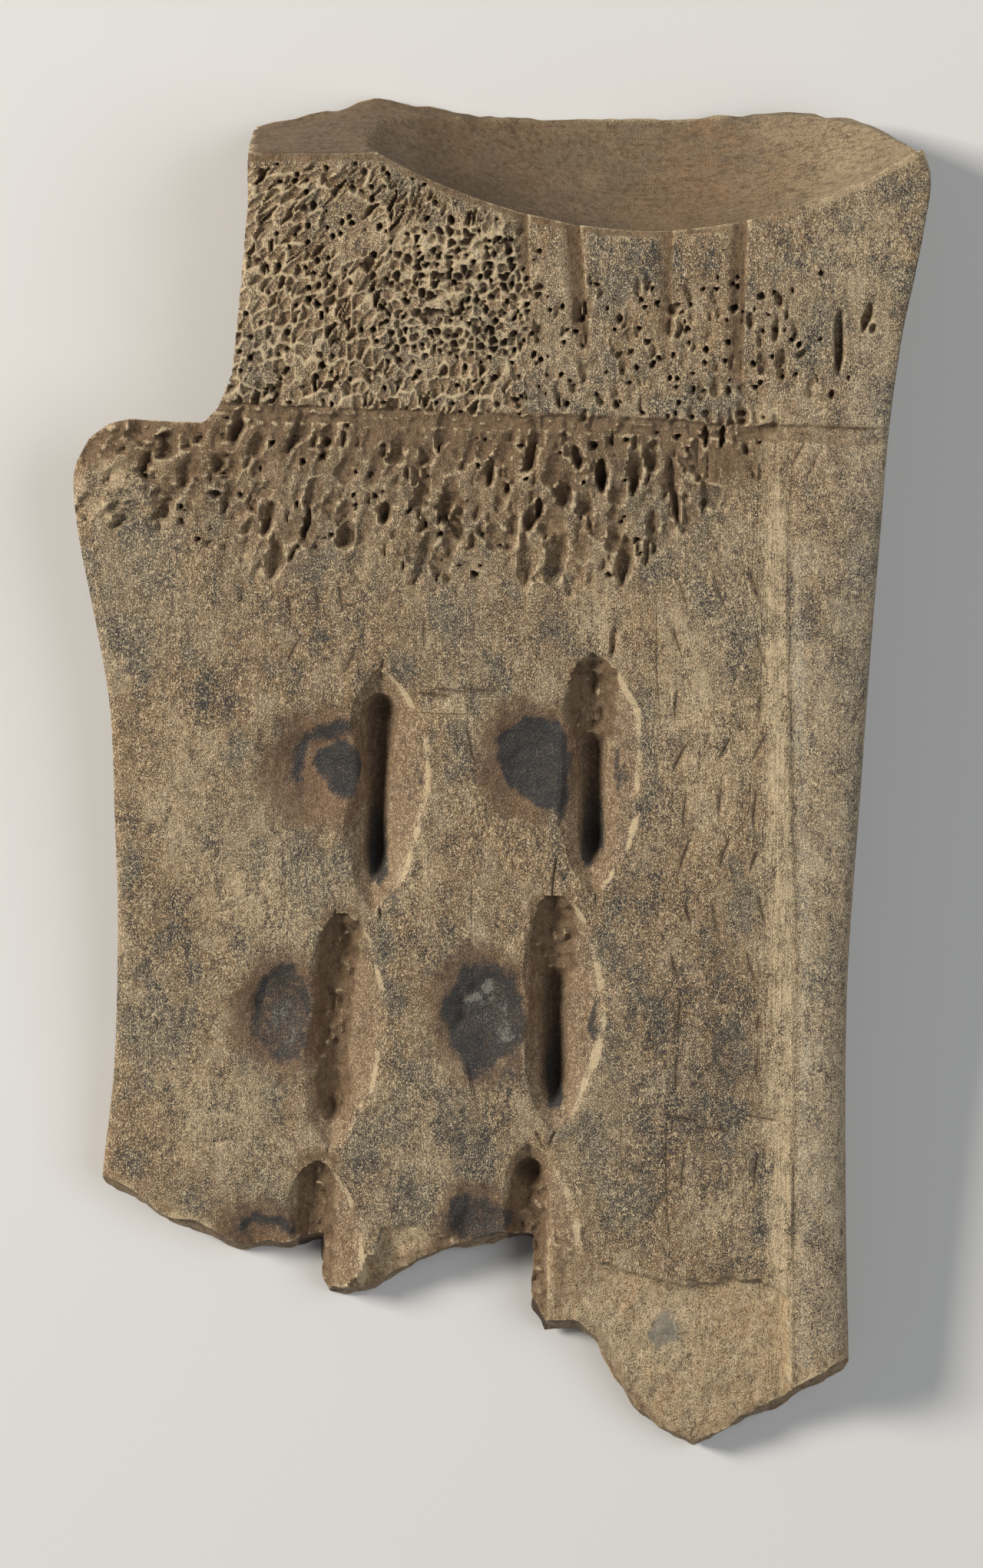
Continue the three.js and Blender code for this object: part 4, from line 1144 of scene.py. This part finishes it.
old_bone = Finish("old_bone")
at = old_bone.stored("place", "Vector")
sunk, earth, charred, pale, grey = (
    old_bone.stored(name) for name in ("sunk", "earth", "char", "pale", "grey"))
across, scored, raw, opened = (old_bone.stored(name) for name in ("across", "scored", "raw", "cut"))
patch = old_bone.grain(at, (17, 24, 17), 2, 0.5)
blotch = old_bone.grain(at, (5, 8, 5), 3, 0.6)
mottle = old_bone.grain(at, (1.9, 3.0, 1.9), 3, 0.6, 0.4)
cluster = old_bone.grain(at, (0.6, 0.95, 0.6), 2, 0.6)
grit = old_bone.grain(at, (0.11, 0.17, 0.11), 1, 0.6)
chalk = old_bone.grain(at, (0.13, 0.24, 0.13), 1, 0.6)
fibre = old_bone.grain(at, (0.12, 2.6, 0.2), 2, 0.6)
layers = old_bone.grain(at, (6, 0.5, 0.35), 3, 0.6)
streak = old_bone.grain(at, (0.5, 9, 0.5), 2, 0.6)
score = old_bone.grain(at, (0.22, 6, 0.3), 3, 0.65)

# Bare bone: mottled, greyer on the ridge, fibrous along the blade and layered across the socket. The pale
# stripe beside the crease and the pale at the right of the dish are painted highlight.
bare = old_bone.coat(TAN, [
    (OCHRE, patch.step(0.4, 0.6) * 0.75),
    (OLIVE, ((blotch + (patch - 0.5) * -0.6).step(0.48, 0.64) * 0.85) * (1 - pale)),
    (STONE, (grey * 0.75 + blotch.step(0.5, 0.34) * 0.35).cap()),
    (UMBER, mottle.step(0.52, 0.68) * 0.6),
    (CREAM, pale * mottle.step(0.7, 0.42) * 0.6),
    (CREAM, pale * streak.step(0.52, 0.62) * 0.5),
    (UMBER, (streak.step(0.46, 0.36) * 0.3 + fibre.step(0.46, 0.3) * 0.35) * (1 - across)),
    (CREAM, fibre.step(0.57, 0.72) * 0.3 * (1 - across)),
    (UMBER, layers.step(0.49, 0.36) * across * 0.9),
    (TAN, layers.step(0.52, 0.66) * across * 0.6),
    (ROSE, opened * 0.55),
    (AMBER, raw * mottle.step(0.4, 0.56) * 0.75),
    (CREAM, raw * blotch.step(0.5, 0.62) * 0.55),
    (UMBER, raw * mottle.step(0.48, 0.34) * 0.8),
    (UMBER, score.step(0.46, 0.36) * scored * 0.6),
    (CREAM, score.step(0.54, 0.64) * scored * 0.55),
])

# Chalky grains and blue-black specks, denser in patches, then earth in whatever is cut or open.
chalky = (chalk + (0.5 - cluster) * 0.3 + pale * 0.06 + raw * 0.04).step(0.545, 0.585)
density = old_bone.stored("speck") * 0.12 + (cluster - 0.5) * 0.22 + (mottle - 0.5) * 0.25
density = density + (blotch - 0.5) * 0.3 - earth * 0.1 - pale * 0.05 - opened * 0.06 - raw * 0.03
specks = (grit + density).step(0.565, 0.6)
earthy = (earth * 1.2 + (cluster - 0.5) * 1.2 * earth).cap()
buried = old_bone.coat(bare, [
    (CREAM, chalky * (0.85 - across * 0.5 + across * pale * 0.4)),
    (SPECK, specks * 0.95),
    (EARTH, earthy * 0.8),
    (DARK_EARTH_AND_SHADE, (cluster.step(0.54, 0.7) * earth).cap() * 0.55),
    (DARK_EARTH_AND_SHADE, old_bone.stored("sign") * 0.6),
])

# Scorching round the pits, cream on rubbed edges with painted highlight on rims and the bevels' right-hand
# edges, painted shade darkening deep holes and open cells, and the char with its crumbs and ash.
scorch = (old_bone.stored("scorch") + (mottle - 0.5) * 0.8).step(0.25, 0.8)
wear_and_highlight = (old_bone.stored("wear_and_highlight") + (chalk - 0.5) * 0.9).step(0.3, 0.75)
char = (charred + (mottle - 0.5) * 0.8 + (cluster - 0.5) * 0.9 + (grit - 0.5) * 1.6).step(0.25, 0.8)
crumbs = (chalk + (cluster - 0.5) * 0.5).step(0.53, 0.6)
ash = old_bone.stored("ash") * 1.1 + (mottle - 0.5) * 1.0 + (cluster - 0.5) + (chalk - 0.5) * 1.2
old_bone.feed("Base Color", old_bone.coat(buried, [
    (SCORCHED, scorch * 0.65),
    # Cream from wear on proud edges, with painted highlight on thin walls, rims and the bevels' right-hand
    # edges.
    (CREAM, wear_and_highlight * (1 - charred) * 0.75),
    # Painted shade: darker with depth below the face, and in open cells.
    (DARK_EARTH_AND_SHADE, (sunk.step(0.7, 3.0) * 0.9).most(old_bone.stored("hole") * 0.5)),
    (CHAR, char * 0.95),
    (CRUMBS, char * crumbs * 0.7),
    (ASH, ash.step(0.5, 0.9) * 0.75),
]))

rough = 0.7 + (cluster - 0.5) * 0.3 + earthy * 0.18 - grey * 0.1
old_bone.feed("Roughness", rough.cap())
relief = (grit - 0.5) * 0.9 + (fibre - 0.5) * 0.5 + (score - 0.5) * scored * 1.2 + (cluster - 0.5) * 0.7
relief = relief + char * (chalk - 0.5) * 1.5 - specks * 0.25
bump = {"Strength": 0.9, "Distance": 0.00025, "Height": relief}
old_bone.feed("Normal", old_bone.add("ShaderNodeBump", {}, bump))

bone.data.shade_smooth()
bone.data.set_sharp_from_angle(angle=SHARP_FROM)
middle = np.array(cad_box).mean(0)
turned = place @ np.array(lie).T
shift = middle - (turned.min(0) + turned.max(0)) * MM / 2
shift[2] = cad_box[0].z - floor_level * MM
bone.data.vertices.foreach_set("co", np.ravel(turned * MM + shift).astype(np.float32))
bone.data.update()
bone.data.materials.clear()
bone.data.materials.append(old_bone.material)
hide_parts("oracle_bone")
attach(bone, "root")

# ---------- Studio ----------
# A pale floor, a soft key light from the left, a wide fill from the right and a little light all round. The
# camera looks squarely at the bone but for a tilt towards the socket, which shows into the dish.

FRAME_HEIGHT = 0.1837  # metres of the bone's plane that the picture shows from top to bottom
LENS = 150
SENSOR = 36
TILT = math.radians(13)
AIM = Vector((-0.9, 0, 0))  # in the bone's frame
FLOOR_HALF = 3
FLOOR_GAP = 0.0001  # keeps the floor clear of the feet that rest on it
SKY = {"colour": (0.9, 0.93, 1.0, 1), "strength": 0.18}

floor_mesh = bpy.data.meshes.new("floor")
corners = [(-FLOOR_HALF, -FLOOR_HALF, 0), (FLOOR_HALF, -FLOOR_HALF, 0), (FLOOR_HALF, FLOOR_HALF, 0),
           (-FLOOR_HALF, FLOOR_HALF, 0)]
floor_mesh.from_pydata(corners, [], [(0, 1, 2, 3)])
floor = bpy.data.objects.new("floor", floor_mesh)
bpy.context.scene.collection.objects.link(floor)
floor.location.z = cad_box[0].z - FLOOR_GAP
backdrop = Finish("pale_floor")
backdrop.feed("Base Color", paint(212, 210, 206))
backdrop.feed("Roughness", 0.9)
floor.data.materials.append(backdrop.material)

world = bpy.data.worlds.new("studio")
bpy.context.scene.world = world
world.use_nodes = True
world.node_tree.nodes["Background"].inputs["Color"].default_value = SKY["colour"]
world.node_tree.nodes["Background"].inputs["Strength"].default_value = SKY["strength"]
bpy.context.scene.view_settings.view_transform = "Standard"


def lamp(name, place, size, power, colour):
    """A square soft light at place, turned to face the bone."""
    light = bpy.data.lights.new(name, "AREA")
    light.size = size
    light.energy = power
    light.color = colour
    made = bpy.data.objects.new(name, light)
    bpy.context.scene.collection.objects.link(made)
    made.location = place
    made.rotation_euler = Vector(place).to_track_quat("Z", "Y").to_euler()


lamp("key", (-0.95, 0.36, 0.68), 0.3, 17.5, (1.0, 0.96, 0.9))
lamp("fill", (0.6, 0.1, 0.9), 0.9, 5.0, (0.92, 0.96, 1.0))

aim = Vector(shift) + lie @ AIM * MM
back = lie @ Vector((0, math.sin(TILT), math.cos(TILT)))
side = lie @ Vector((1, 0, 0))
camera = bpy.data.objects.new("camera", bpy.data.cameras.new("camera"))
bpy.context.scene.collection.objects.link(camera)
camera.data.lens = LENS
camera.data.sensor_width = SENSOR
camera.rotation_euler = Matrix((side, back.cross(side), back)).transposed().to_euler()
camera.location = aim + back * (FRAME_HEIGHT / 2 * LENS / (SENSOR / 2))
bpy.context.scene.camera = camera
